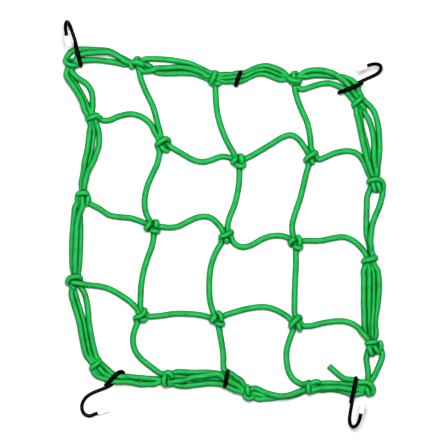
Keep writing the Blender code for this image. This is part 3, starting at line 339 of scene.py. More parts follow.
# The turns of cord that show on top of each knot.
KNOT_TURNS: dict[str, tuple[Turn, ...]] = {
    "M11": (
        Turn(1.02, ((156.6, 145.2, 5), (157.8, 144, 8.8), (162, 141, 10.5), (166, 139, 9.2),
            (168.4, 140.2, 6.8), (169.2, 143.6, 4.6))),
        Turn(0.95, ((160.8, 144.6, 6.4), (162.4, 148, 7.4), (165.2, 150.4, 6.2), (169.6, 151, 3.6))),
    ),
    "M12": (
        Turn(1.05, ((236.9, 157.6, 7.6), (234.9, 159.8, 9.4), (233.1, 161.8, 8.4), (233.2, 163.8, 5))),
        Turn(1.22, ((241.3, 155.6, 5), (241.3, 157, 8.2), (241.5, 159.4, 9.4), (241.5, 161.2, 8.4),
            (241, 163.6, 6))),
        Turn(1, ((234.8, 165, 5.4), (237.2, 165, 8.2), (240.4, 166.5, 9.2), (243.2, 165.6, 8.2),
            (244.4, 163, 5.4))),
    ),
    "M13": (
        Turn(0.98, ((305.3, 161.6, 5), (305.9, 159.4, 8.8), (309.2, 156.2, 10.5), (313, 154, 9.6),
            (315.4, 152.4, 6.4), (315.6, 155.6, 4.8))),
        Turn(1, ((310.8, 158.6, 6.2), (312, 161.6, 7.2), (313.3, 163.8, 4.6))),
    ),
    "M21": (
        Turn(1, ((151, 222, 7.6), (148.6, 225, 9.4), (146.6, 227.8, 8.2), (147.1, 229.8, 5))),
        Turn(1.12, ((156.7, 220.8, 5), (156.6, 222.4, 8.4), (156.4, 225.2, 9.4), (156.2, 227.6, 7.4))),
        Turn(0.98, ((151.4, 230.2, 5.4), (153.2, 230.6, 8.6), (156.2, 231.4, 9.2), (158.2, 231.2, 6.4),
            (158.4, 229.6, 4.4))),
    ),
    "M22": (
        Turn(0.98, ((220.6, 237.4, 5), (221.3, 236.4, 8.6), (225, 235.2, 10.4), (228.8, 233.4, 9.8),
            (231.2, 231.6, 7), (231.6, 235, 5.4))),
        Turn(1.12, ((225.8, 237.4, 6.4), (226.4, 240.2, 7.2), (226.8, 241.8, 4.4))),
    ),
    "M23": (
        Turn(0.98, ((294.6, 238.4, 7.6), (291.8, 240.3, 9.2), (290, 242.2, 8), (291, 244, 5))),
        Turn(1.02, ((296.8, 236.4, 5.2), (298.4, 237.4, 8.2), (299.8, 240.2, 9.2), (299.4, 243, 8.6),
            (298.2, 245.2, 6.4))),
        Turn(0.95, ((293.6, 246, 5.2), (295.8, 247, 8.2), (298.6, 248.2, 8.6), (300.6, 247.2, 6.8),
            (300.6, 245.2, 4.6))),
    ),
    "M31": (
        Turn(0.95, ((135.2, 318.4, 5), (136, 317, 8.6), (139.6, 316.1, 10.2), (143.2, 313.7, 10),
            (145.2, 310.6, 8.6), (144.4, 308.4, 5.4))),
        Turn(1.02, ((140.6, 318, 6), (142.4, 319.8, 7.4), (145, 319.4, 6.4), (146.4, 317.8, 4.4))),
    ),
    "M32": (
        Turn(1.2, ((215.6, 314.8, 7.4), (214, 317.4, 9.2), (212.2, 320, 8.2), (211.4, 321.2, 5))),
        Turn(1, ((217, 312.2, 5.2), (219, 312.8, 8.2), (221, 315.6, 9.2), (221.4, 318.6, 8.4),
            (220.8, 321, 6))),
        Turn(0.92, ((215.4, 322.2, 5.2), (217.6, 323.3, 8.6), (220.6, 324.2, 9), (222.8, 323.8, 6.8),
            (223, 321.6, 4.6))),
    ),
    "M33": (
        Turn(1.1, ((290.6, 327, 5), (291.2, 324.8, 8.6), (293.6, 321.6, 10.4), (296.6, 318.7, 9.8),
            (299, 316.8, 6.6), (301, 320, 5))),
        Turn(1.02, ((297.2, 321.6, 7), (298.4, 325.6, 8.2), (299.4, 328.8, 7.2), (299.8, 330.4, 4.6))),
    ),
    "TL": (
        Turn(0.95, ((66.8, 59.4, 5.4), (65.7, 60.4, 8.2), (66.6, 62.9, 9.2), (69.6, 65, 10.2),
            (73.4, 65.8, 10.2), (76.4, 66.2, 8.6), (77.2, 65.6, 5.2))),
    ),
    "T1": (
        Turn(0.98, ((136.5, 58.4, 4.8), (136.6, 59.6, 8), (136.9, 62, 9.2), (137.4, 64, 8))),
        Turn(1.2, ((131.4, 63.6, 6.4), (134.4, 62.6, 9), (138.6, 63.1, 10.2), (141.8, 64.4, 9),
            (143.6, 66.4, 5.4))),
        Turn(0.95, ((131.6, 61.6, 6), (130.7, 64.4, 7.8), (131.6, 67, 6.8), (134.2, 68, 4.8))),
    ),
    "T2": (
        Turn(1.08, ((215.4, 72.2, 5), (214.9, 73.8, 8.8), (213.2, 78.2, 10.5), (211.3, 82.2, 9),
            (210.6, 84, 5.2))),
        Turn(0.95, ((213.2, 83.4, 4.6), (217.2, 83.9, 6.4), (221.8, 83.3, 4.4))),
    ),
    "T3": (
        Turn(1, ((292.9, 73.2, 4.8), (293.1, 74.4, 8), (293.7, 77, 9), (294.3, 79.2, 7.4))),
        Turn(1.02, ((286.8, 76.6, 6), (289.4, 79.2, 8.8), (294.2, 81.2, 10.2), (298.6, 81.4, 9),
            (300.6, 79.6, 5.4))),
        Turn(0.9, ((288.6, 81.6, 5), (292.6, 83.1, 7), (297, 83.6, 6.6), (300, 82.6, 4.6))),
    ),
    "TR": (
        Turn(1, ((352.6, 105.8, 5), (353.9, 104.5, 8.6), (357.5, 101.4, 10.5), (361, 98.2, 9),
            (362, 97.4, 5.2))),
        Turn(0.85, ((359.6, 103, 6.4), (361.8, 105.6, 7.2), (363.8, 108.2, 6.2), (364.8, 110.8, 4.2))),
    ),
    "R1": (
        Turn(0.95, ((368.6, 184, 5), (368.8, 181.2, 8.4), (373, 179.6, 10.3), (378.2, 179.4, 9.6),
            (382.2, 182.2, 7.8), (383, 187, 6), (382, 191, 4))),
        Turn(0.98, ((372.4, 181.4, 7), (372.9, 185.4, 8.4), (374.2, 189.8, 7), (375, 191.2, 4.4))),
        Turn(0.98, ((376.8, 181.6, 7.6), (378, 185.4, 8.6), (379.2, 189.6, 7), (379.6, 191, 4.4))),
    ),
    "R2": (
        Turn(1.06, ((363.4, 262.4, 5), (363.8, 260.8, 8.6), (368, 259.5, 10.3), (372.2, 258.4, 10),
            (374.8, 257.2, 7.6), (374.9, 260.4, 5.4))),
    ),
    "R3": (
        Turn(0.95, ((366.5, 344, 5), (367.1, 342.7, 8.4), (371, 341.9, 10.2), (374.6, 341.5, 9),
            (375.6, 342.2, 5.6))),
        Turn(0.95, ((379.3, 342, 4.6), (380.1, 342.4, 7), (380.6, 345.6, 7.6), (379.8, 349, 6.2),
            (378.6, 351, 4.2))),
        Turn(1.02, ((368.2, 345, 6), (369.3, 349, 8.2), (371.1, 353, 7.6), (371.8, 354.8, 4.6))),
        Turn(0.98, ((373.6, 344.8, 7), (375.4, 348.2, 8.6), (377.6, 351.2, 7.2), (378.6, 352.2, 4.6))),
    ),
    "BR": (
        Turn(1.05, ((356, 382.6, 7.2), (361, 381.8, 8.8), (366.4, 381.9, 9.8), (370.6, 384.4, 9.6),
            (372.7, 388.6, 8.2), (371.8, 392.4, 6.2), (369.4, 394.6, 4.4))),
        Turn(1.02, ((365.8, 386.6, 7), (366.7, 389, 8.4), (367.8, 392.6, 8.2), (368.2, 395.2, 4.8))),
    ),
    "B3": (
        Turn(0.98, ((308.8, 383, 5), (308.2, 384.4, 8.6), (307.9, 388, 10.2), (308.6, 391.2, 8.4),
            (311, 392, 5))),
        Turn(0.98, ((310.4, 384.8, 6), (312.4, 382.2, 8.2), (316.2, 381.2, 7.8), (320.6, 382.8, 5.4))),
    ),
    "B2": (
        Turn(0.98, ((247.6, 385.4, 4.8), (247.4, 386.8, 8.4), (247.6, 390, 9.8), (247.9, 392.6, 8.4),
            (248, 393.8, 5.2))),
        Turn(0.9, ((244.8, 393, 5.6), (245.2, 396.4, 6.4), (248.6, 398.2, 7.2), (252, 397.2, 6.6),
            (254.2, 394.4, 5))),
        Turn(0.95, ((243.8, 388.8, 6.4), (241.6, 391.4, 7.2), (241.1, 393.6, 4.6))),
        Turn(1, ((250.6, 392.4, 4.4), (254, 393, 3.6), (260, 394.6, 3.2), (267, 396.6, 3.2))),
    ),
    "B1": (
        Turn(0.95, ((165.2, 374.8, 5.6), (164.6, 376.8, 8.8), (163.9, 380.2, 10.2), (164.3, 383.4, 9),
            (166.4, 385.6, 4.8))),
        Turn(1.1, ((165.4, 375.2, 6), (167, 372.5, 8.4), (169.4, 372.4, 9.2), (171.6, 375, 8),
            (172.6, 377.6, 5.4))),
    ),
    "BL": (
        Turn(1, ((91.6, 368.6, 5), (92.4, 367.2, 8.6), (95.8, 364.5, 10.3), (99, 361.7, 9),
            (100, 360.8, 5.2))),
        Turn(1, ((107.4, 378.6, 3.4), (101, 377.2, 3.8), (96.4, 375, 4.6), (93.8, 371.4, 5.4),
            (93.4, 368.6, 5.6))),
        Turn(1, ((98.2, 366, 5.8), (100.6, 369.2, 5.8), (103.6, 372.4, 4.4), (107.6, 375, 3.3),
            (113, 377.4, 3))),
    ),
    "L3": (
        Turn(0.98, ((68.7, 284.4, 4.8), (68.1, 281.6, 8), (69.8, 278.1, 9.8), (74.4, 276.6, 10.4),
            (79, 276.7, 9.6), (80.9, 278.2, 7.4), (80.8, 280.4, 5))),
        Turn(1.02, ((71.9, 282, 5.4), (73.4, 282.2, 8.2), (77.4, 282.8, 8.8), (82.6, 283.8, 7),
            (88, 284.8, 4.2), (93, 285.2, 3.2))),
        Turn(0.72, ((73, 285, 5), (73.8, 287.6, 6.2), (74.2, 289.6, 5.6))),
    ),
    "L2": (
        Turn(1.04, ((78.3, 196.4, 5), (78.7, 194.2, 8.4), (82.7, 193, 10.3), (86.6, 193.2, 9.4),
            (87.4, 195, 5.6))),
        Turn(0.95, ((88, 195.4, 6), (88.3, 199, 7.4), (87.4, 203.4, 5.8), (86.2, 206, 4.2))),
    ),
    "L1": (
        Turn(1.04, ((88, 120.4, 5), (88.6, 118.9, 8.6), (92.4, 117.4, 10.4), (96.4, 116.2, 9.6),
            (98.9, 117.7, 7.6), (98.8, 121, 5.4))),
    ),
}


# Routes, in millimetres.


def plan_point(x: float, y: float, z: float = 0.0) -> tuple[float, float, float]:
    """Turns a point of the plan sheet into the frame of the CAD.

    Args:
        x: Right on the plan sheet.
        y: Down on the plan sheet.
        z: Height above the ground.

    Returns:
        The point in the frame of the CAD, in millimetres.
    """
    return (x - PLAN_CENTRE[0], PLAN_CENTRE[1] - y, z)


def smooth_route(points: Points) -> Points:
    """Draws a smooth curve through points.

    Args:
        points: The points that it goes through, in order.

    Returns:
        About eight points of the curve for each millimetre.
    """
    points = np.array(points, float)
    before, after = 2 * points[0] - points[1], 2 * points[-1] - points[-2]
    padded = np.vstack([before, points, after])
    pieces = []
    for p0, p1, p2, p3 in zip(padded, padded[1:], padded[2:], padded[3:]):
        knots = [0.0]
        for a, b in ((p0, p1), (p1, p2), (p2, p3)):
            knots.append(knots[-1] + math.sqrt(float(np.linalg.norm(b - a))))
        t0, t1, t2, t3 = knots
        count = max(4, int(np.linalg.norm(p2 - p1) * CURVE_POINTS_PER_MM))
        t = np.linspace(t1, t2, count, endpoint=False)[:, None]
        a1 = (t1 - t) / (t1 - t0) * p0 + (t - t0) / (t1 - t0) * p1
        a2 = (t2 - t) / (t2 - t1) * p1 + (t - t1) / (t2 - t1) * p2
        a3 = (t3 - t) / (t3 - t2) * p2 + (t - t2) / (t3 - t2) * p3
        b1 = (t2 - t) / (t2 - t0) * a1 + (t - t0) / (t2 - t0) * a2
        b2 = (t3 - t) / (t3 - t1) * a2 + (t - t1) / (t3 - t1) * a3
        pieces.append((t2 - t) / (t2 - t1) * b1 + (t - t1) / (t2 - t1) * b2)
    return np.vstack(pieces + [points[-1:]])


def lengths_along(points: Points) -> Points:
    """Gives the length along a route at each of its points."""
    return np.concatenate([[0.0], np.cumsum(np.linalg.norm(np.diff(points, axis=0), axis=1))])


def read_route(points: Points, marks: Points) -> Points:
    """Reads a route at some lengths along it.

    Args:
        points: The route.
        marks: Lengths from its start.

    Returns:
        One point for each mark.
    """
    along = lengths_along(points)
    return np.column_stack([np.interp(marks, along, points[:, axis]) for axis in range(3)])


def even_route(points: Points, step: float) -> Points:
    """Cuts the smooth curve through points into equal steps.

    Args:
        points: The points that the curve goes through.
        step: About how long each step is.

    Returns:
        The ends of the steps.
    """
    fine = smooth_route(points)
    length = lengths_along(fine)[-1]
    return read_route(fine, np.linspace(0.0, length, max(3, round(length / step)) + 1))


def cut_route(points: Points, start: float, end: float) -> Points:
    """Cuts a stretch out of a route.

    Args:
        points: The route.
        start: Where the stretch starts, as a length along the route.
        end: Where it ends.

    Returns:
        The stretch's points.
    """
    along = lengths_along(points)
    between = along[(along > start + CUT_MARGIN) & (along < end - CUT_MARGIN)]
    return read_route(points, np.concatenate([[start], between, [min(end, along[-1])]]))


def knot_heart(name: str) -> tuple[float, float, float]:
    """Gives the point inside a knot where its settled strands meet."""
    knot = KNOT_PLACES[name]
    return plan_point(knot.x, knot.y, KNOT_HEART_HEIGHT)


def plan_route(route: Sequence[tuple[float, float, float]]) -> Points:
    """Turns a route on the plan sheet, with its heights, into the frame of the CAD."""
    return np.array([plan_point(*point) for point in route])


def wire_route(wire: Wire, radius: float) -> Points:
    """Draws a wire's smooth route, kept so high that the wire rests on the ground.

    Args:
        wire: The wire.
        radius: Its radius.

    Returns:
        The points of its middle line.
    """
    route = smooth_route(plan_route(wire.route))
    route[:, 2] = np.maximum(route[:, 2], WIRE_CLEARANCE * radius)
    return route


def gaps(points: Points, others: Points) -> Points:
    """Measures the distance from each point to each of the others."""
    squares = (points**2).sum(axis=1)[:, None] + (others**2).sum(axis=1)[None]
    return np.sqrt(np.clip(squares - 2 * points @ others.T, 0.0, None))


@dataclass(frozen=True)
class CordSettling:
    """Lets the cords come to rest on the ground, on each other and round the wires.

    The CAD's cords settle in the same way with the same values, so the rows and columns lie
    alike. The border's cords lie nearly so, because their routes are drawn more closely here.
    Where those routes are crowded, and inside the rings, the cords and wires that are drawn
    from them still run into each other.
    """

    cord_radius: float = 2.5
    wire_diameter: float = 3.0
    touch_gap: float = 0.5
    sample_step: float = 2.5
    rounds: int = 240
    push_only_rounds: int = 60  # the last rounds, which neither pull nor smooth
    relist_rounds: int = 30  # between two looks at which cords are near each other
    list_reach: float = 4.0
    sag: float = 0.05
    stiffness: float = 0.25
    hold: float = 0.12
    cord_push: float = 0.3
    wire_push: float = 0.5
    low_wire: float = 3.0  # a wire that is lower than this is climbed over
    ground_gap: float = 0.1

    @property
    def cord_spacing(self) -> float:
        """The distance between the middles of two cords that touch."""
        return 2 * self.cord_radius + self.touch_gap

    @property
    def wire_spacing(self) -> float:
        """The distance between the middles of a cord and a wire that touch."""
        return self.cord_radius + self.wire_diameter / 2 + self.touch_gap

    def start(self, strand: Strand) -> Points:
        """Lays a strand out before it settles.

        Args:
            strand: The strand, with its route on the plan sheet.

        Returns:
            Its points, on the ground or one cord above it.
        """
        height = self.cord_radius + strand.level * self.cord_spacing
        points = [plan_point(x, y, height) for x, y in strand.via]
        points.insert(0, knot_heart(strand.start))
        if strand.end:
            points.append(knot_heart(strand.end))
        return even_route(np.array(points), self.sample_step)

    def settle(
        self, strands: Sequence[Points], wires: Sequence[Points], widths: Sequence[float]
    ) -> list[Points]:
        """Settles all the strands together.

        Each round pulls the points down and back to their plan route, smooths them as a
        cord's stiffness does, and pushes apart whatever is nearer than touching cords are.

        Args:
            strands: Each strand's points as laid out.
            wires: Each hook's and ring's points, which stay where they are.
            widths: Each strand's width, as a share of the full cord's.

        Returns:
            Each strand's points at rest.
        """
        lengths = [len(strand) for strand in strands]
        width = np.repeat(widths, lengths)
        points = np.vstack(strands)
        owner = np.repeat(np.arange(len(strands)), lengths)
        ends = np.cumsum(lengths)
        is_end = np.zeros(len(points), bool)
        is_end[ends - 1] = True
        is_end[ends - lengths] = True
        knots = np.array([plan_point(knot.x, knot.y)[:2] for knot in KNOTS])
        to_knots = np.linalg.norm(points[:, None, :2] - knots[None], axis=2)
        in_knot = to_knots.min(axis=1) < KNOT_FUSED_RADIUS
        near_knot = np.where(in_knot, to_knots.argmin(axis=1), -1)
        target = points[:, :2].copy()
        low_wire = np.vstack([wire[wire[:, 2] < self.low_wire] for wire in wires])
        high_wire = np.vstack([wire[wire[:, 2] >= self.low_wire] for wire in wires])
        inner = ~is_end
        middle = np.flatnonzero(inner)
        reach = self.wire_spacing + self.list_reach
        lifted = gaps(points[:, :2], low_wire[:, :2]).min(axis=1) < self.wire_spacing
        points[lifted, 2] += self.wire_diameter
        for turn in range(self.rounds):
            if turn % self.relist_rounds == 0:
                cords = self._near_cords(points, owner, near_knot)
                beside = np.nonzero(gaps(points, high_wire) < reach)
            if turn < self.rounds - self.push_only_rounds:
                points[middle, 2] -= self.sag
                bend = points[middle - 1] + points[middle + 1] - 2 * points[middle]
                points[middle, 2] += self.stiffness * bend[:, 2]
                points[middle, :2] += self.hold * (target[middle] - points[middle, :2])
            move = np.zeros_like(points)
            first, second = cords
            spacing = self.cord_spacing * (width[first] + width[second]) / 2
            step = self.cord_push * shortfall(points[first] - points[second], spacing)
            np.add.at(move, first, step)
            np.add.at(move, second, -step)
            first, second = beside
            step = self.wire_push * shortfall(points[first] - high_wire[second], self.wire_spacing)
            np.add.at(move, first, step)
            points[inner] += move[inner]
            ground = self._ground(points, low_wire)
            points[inner, 2] = np.maximum(points[inner, 2], ground[inner])
        return np.split(points, ends[:-1])

    def _near_cords(self, points: Points, owner: Points, near_knot: Points) -> tuple[Points, ...]:
        """Lists the pairs of points of two strands that are near, outside their knot.

        Args:
            points: The points of all the strands.
            owner: The strand that each belongs to.
            near_knot: The knot that each is inside, or -1.

        Returns:
            The first and the second point of every pair.
        """
        same_knot = (near_knot[:, None] == near_knot[None]) & (near_knot[:, None] >= 0)
        near = gaps(points, points) < self.cord_spacing + self.list_reach
        return np.nonzero(near & (owner[:, None] < owner[None]) & ~same_knot)

    def _ground(self, points: Points, low_wire: Points) -> Points:
        """Finds how low each point may lie, over the ground and over the low wires.

        Args:
            points: The points of the strands.
            low_wire: The points of the wires that lie low.

        Returns:
            The lowest height for each point.
        """
        across = gaps(points[:, :2], low_wire[:, :2])
        reach = np.sqrt(np.clip(self.wire_spacing**2 - across**2, 0.0, None))
        over = np.where(across < self.wire_spacing, low_wire[None, :, 2] + reach, 0.0)
        return np.maximum(self.cord_radius + self.ground_gap, over.max(axis=1))


def shortfall(apart: Points, spacing: float | Points) -> Points:
    """Gives what each of these offsets lacks to its spacing, along its own direction."""
    gap = np.maximum(np.linalg.norm(apart, axis=1), TINY)
    return apart * (np.clip(spacing - gap, 0.0, None) / gap)[:, None]


# Meshes.


class EndShape(Enum):
    """How the end of a cord or wire is finished, as (length from the end, radius) in radii."""

    HIDDEN = ((0.0, 1.0),)
    CUT = ((0.0, 0.8), (0.06, 0.92), (0.16, 0.98), (0.3, 1.0))
    ROUND = ((0.02, 0.2), (0.13, 0.5), (0.34, 0.75), (0.66, 0.94), (1.0, 1.0))


@dataclass(frozen=True)
class Sweep:
    """A round section carried along a route, one ring of edges extruded after another.

    Each point keeps its lie on the cord, which the braid is drawn from: the cosine and the
    sine of its angle about the middle line, and the length along that line in millimetres.
    """

    radius: float
    sides: int = 16
    step: float = 1.0
    upright: float = 0.1  # the sine of the angle from upright below which a route has no level side

    def make(
        self,
        route: Points,
        start: EndShape = EndShape.HIDDEN,
        end: EndShape = EndShape.HIDDEN,
        swell: Optional[Points] = None,
    ) -> bmesh.types.BMesh:
        """Makes one closed tube.

        Args:
            route: The middle line, in millimetres.
            start: How the tube's first end is finished.
            end: How its last end is finished.
            swell: Scales of the radius along the route, evenly spread, or None.

        Returns:
            The tube's mesh in metres, which the caller frees.
        """
        marks, radii = self._marks(lengths_along(route)[-1], start, end)
        if swell is not None:
            radii = radii * np.interp(marks / marks[-1], np.linspace(0, 1, len(swell)), swell)
        places = self._places(read_route(route, marks), radii)
        mesh = bmesh.new()
        lie = mesh.verts.layers.float_vector.new("cord_lie")
        made = bmesh.ops.create_circle(mesh, cap_ends=True, radius=METRES, segments=self.sides)
        for corner in made["verts"]:
            corner[lie] = (corner.co.x / METRES, corner.co.y / METRES, marks[0])
        rim = list(mesh.edges)
        bmesh.ops.transform(mesh, matrix=places[0], verts=made["verts"])
        for mark, last, place in zip(marks[1:], places, places[1:]):
            grown = bmesh.ops.extrude_edge_only(mesh, edges=rim)["geom"]
            rim = [part for part in grown if isinstance(part, bmesh.types.BMEdge)]
            corners = [part for part in grown if isinstance(part, bmesh.types.BMVert)]
            bmesh.ops.transform(mesh, matrix=place @ last.inverted(), verts=corners)
            for corner in corners:
                corner[lie] = (corner[lie][0], corner[lie][1], mark)
        bmesh.ops.contextual_create(mesh, geom=rim)
        bmesh.ops.recalc_face_normals(mesh, faces=mesh.faces)
        for face in mesh.faces:
            face.smooth = len(face.verts) == 4
        return mesh

    def _marks(self, length: float, start: EndShape, end: EndShape) -> tuple[Points, Points]:
        """Spreads the tube's rings along it.

        Args:
            length: The tube's length.
            start: How its first end is finished.
            end: How its last end is finished.

        Returns:
            The length along the tube of each ring, and each ring's radius.
        """
        head = [(mark * self.radius, scale) for mark, scale in start.value]
        tail = [(length - mark * self.radius, scale) for mark, scale in reversed(end.value)]
        first, last = head[-1][0], tail[0][0]
        count = max(2, round((last - first) / self.step))
        between = [(mark, 1.0) for mark in np.linspace(first, last, count + 1)[1:-1]]
        marks, scales = zip(*head, *between, *tail)
        return np.array(marks), np.array(scales) * self.radius

    def _places(self, route: Points, radii: Points) -> list[Matrix]:
        """Finds each ring's place, size and turn, which changes as little as it can.

        The frame is level at the route's highest point, and is carried from there to both ends.

        Args:
            route: The middle of each ring, in millimetres.
            radii: Each ring's radius.

        Returns:
            The matrix of each ring, in metres.
        """
        tangents = [Vector(step).normalized() for step in np.gradient(route, axis=0)]
        top, last = int(route[:, 2].argmax()), len(route) - 1
        level = Vector((0.0, 0.0, 1.0)).cross(tangents[top])
        sides = {top: level.normalized() if level.length > self.upright else Vector((1.0, 0.0, 0.0))}
        onwards = [(ring, ring + 1) for ring in range(top, last)]
        back = [(ring, ring - 1) for ring in range(top, 0, -1)]
        for ring, beside in onwards + back:
            turned = tangents[ring].rotation_difference(tangents[beside]) @ sides[ring]
            sides[beside] = (turned - turned.dot(tangents[beside]) * tangents[beside]).normalized()
        places = []
        for ring, (point, tangent, radius) in enumerate(zip(route, tangents, radii)):
            turn = Matrix((sides[ring], tangent.cross(sides[ring]), tangent)).transposed().to_4x4()
            spot = Matrix.Translation(Vector(point) * METRES)
            places.append(spot @ turn @ Matrix.Diagonal((radius, radius, radius, 1.0)))
        return places


class Tube(NamedTuple):
    """A length of cord that is ready to be made: its middle line, radius, ring step and ends."""

    line: Points
    radius: float
    step: float
    start: EndShape
    end: EndShape
    painted_shade: float = 1.0  # how much painted groove shade from its neighbours shows on it


@dataclass(frozen=True)
class PaintedGrooveShade:
    """Paints shade into the cords' colour where they lie close against each other, in the grooves between
    them.
    """

    tubes: list[Tube]
    reach: float = 2.2  # the gap in millimetres at which a neighbour no longer counts
    margin: float = 6.6  # how far round a cord its neighbours are looked for
    skip: int = 6  # every which point of a neighbour's line is measured to
    facing: float = 1.6  # how soon a surface that turns to its neighbour takes the painted shade

    def make(self, tube: Tube) -> bmesh.types.BMesh:
        """Makes one cord and marks on it how much painted shade the close cords put in its grooves.

        Args:
            tube: The cord, which is one of the net's.

        Returns:
            The cord's mesh, with a painted groove shade value from 0 to 1 on every corner.
        """
        mesh = Sweep(tube.radius, CORD_SIDES, tube.step).make(tube.line, tube.start, tube.end)
        mesh.normal_update()
        corners = np.array([corner.co for corner in mesh.verts]) / METRES
        normals = np.array([corner.normal for corner in mesh.verts])
        low, high = corners.min(axis=0) - self.margin, corners.max(axis=0) + self.margin
        groove_shading = np.zeros(len(corners))
        for other in self.tubes:
            points = other.line[::self.skip]
            near = points[((points > low) & (points < high)).all(axis=1)]
            if other is tube or not len(near):
                continue
            nearest = np.linalg.norm(corners[:, None] - near[None], axis=2).argmin(axis=1)
            towards = near[nearest] - corners
            apart = np.maximum(np.linalg.norm(towards, axis=1), TINY)
            facing = np.clip(self.facing * (normals * towards).sum(axis=1) / apart, 0.0, 1.0)
            gap = np.clip(apart - other.radius, 0.0, self.reach)
            groove_shading = np.maximum(groove_shading, facing * (1 - gap / self.reach))
        painted_shade = mesh.verts.layers.float.new("cord_groove_shade")
        for corner, share in zip(mesh.verts, groove_shading * tube.painted_shade):
            corner[painted_shade] = share
        return mesh


def join(tubes: Iterable[bmesh.types.BMesh], name: str) -> bpy.types.Mesh:
    """Joins tubes into one mesh.

    Args:
        tubes: The tubes, which are freed.
        name: The mesh's name.

    Returns:
        One mesh that holds them all.
    """
    whole = bmesh.new()
    for tube in tubes:
        part = bpy.data.meshes.new("tube")
        tube.to_mesh(part)
        tube.free()
        whole.from_mesh(part)
        bpy.data.meshes.remove(part)
    mesh = bpy.data.meshes.new(name)
    whole.to_mesh(mesh)
    whole.free()
    return mesh


def add_piece(
    mesh: bpy.types.Mesh, finish: bpy.types.Material, nodes: Sequence[str]
) -> bpy.types.Object:
    """Puts a finished mesh on the model.

    Args:
        mesh: The mesh, whose name the piece takes.
        finish: Its material.
        nodes: The CAD nodes that it stands for.

    Returns:
        The piece.
    """
    piece = bpy.data.objects.new(mesh.name, mesh)
    bpy.context.scene.collection.objects.link(piece)
    mesh.materials.append(finish)
    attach(piece, "root")
    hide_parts(*nodes)
    LOG.info("%s: %d faces in place of %s", piece.name, len(mesh.polygons), ", ".join(nodes))
    return piece


# Finishes.


class Graph:
    """A material's nodes, put together one step at a time."""

    def __init__(self, name: str) -> None:
        """Starts a material that has a Principled shader alone.

        Args:
            name: The material's name.
        """
        self.material = bpy.data.materials.new(name)
        self.material.use_nodes = True
        self.nodes = self.material.node_tree.nodes
        self.shader = self.nodes["Principled BSDF"]

    def add(self, kind: str, output: str | int = 0, **inputs: object) -> bpy.types.NodeSocket:
        """Adds a node.

        Args:
            kind: The node's type without its ShaderNode prefix.
            output: The output that is wanted.
            **inputs: Its settings, and its inputs by name with _ for a space.

        Returns:
            That output.
        """
        node = self.nodes.new(f"ShaderNode{kind}")
        for name, value in inputs.items():
            if hasattr(node, name):
                setattr(node, name, value)
            else:
                self.feed(node.inputs[name.replace("_", " ")], value)
        return node.outputs[output]

    def maths(self, operation: str, *values: object) -> bpy.types.NodeSocket:
        """Adds a Math node.

        Args:
            operation: What it does.
            *values: Its inputs in order, each a socket or a number.

        Returns:
            Its result.
        """
        node = self.nodes.new("ShaderNodeMath")
        node.operation = operation
        for socket, value in zip(node.inputs, values):
            self.feed(socket, value)
        return node.outputs[0]

    def clamp(self, value: bpy.types.NodeSocket) -> bpy.types.NodeSocket:
        """Keeps a value between 0 and 1."""
        return self.maths("MINIMUM", self.maths("MAXIMUM", value, 0.0), 1.0)

    def vary(self, noise: bpy.types.NodeSocket, middle: float, change: float) -> bpy.types.NodeSocket:
        """Makes a value that a noise moves by a change in all, about its middle."""
        return self.maths("MULTIPLY_ADD", noise, change, middle - change / 2)

    def noise(
        self, place: bpy.types.NodeSocket, scale: float, detail: float = 3.0, roughness: float = 0.5
    ) -> bpy.types.NodeSocket:
        """Adds a noise.

        Args:
            place: Where it is read.
            scale: Its waves for each metre, or for each unit of the place.
            detail: Its finer octaves.
            roughness: How strong they are.

        Returns:
            Its value, about 0.5 on the whole.
        """
        return self.add("TexNoise", "Fac", Vector=place, Scale=scale, Detail=detail, Roughness=roughness)

    def blend(self, share: object, low: object, high: object) -> bpy.types.NodeSocket:
        """Mixes two colours.

        Args:
            share: How much of the high one there is, from 0 to 1.
            low: The colour at 0.
            high: The colour at 1.

        Returns:
            The mixed colour.
        """
        node = self.nodes.new("ShaderNodeMix")
        node.data_type = "RGBA"
        for socket, value in zip((node.inputs[0], node.inputs[6], node.inputs[7]), (share, low, high)):
            self.feed(socket, value)
        return node.outputs[2]

    def feed(self, socket: bpy.types.NodeSocket, value: object) -> None:
        """Links a socket to another, or sets it to a plain value.

        Args:
            socket: The input.
            value: A socket, a number, or a colour of three numbers.
        """
        if isinstance(value, bpy.types.NodeSocket):
            self.material.node_tree.links.new(value, socket)
        elif isinstance(value, tuple) and len(value) == 3 and socket.type == "RGBA":
            socket.default_value = (*value, 1.0)
        else:
            socket.default_value = value

    def shade(self, **inputs: object) -> bpy.types.Material:
        """Feeds the shader.

        Args:
            **inputs: Its inputs by name, with _ for a space.

        Returns:
            The finished material.
        """
        for name, value in inputs.items():
            self.feed(self.shader.inputs[name.replace("_", " ")], value)
        return self.material


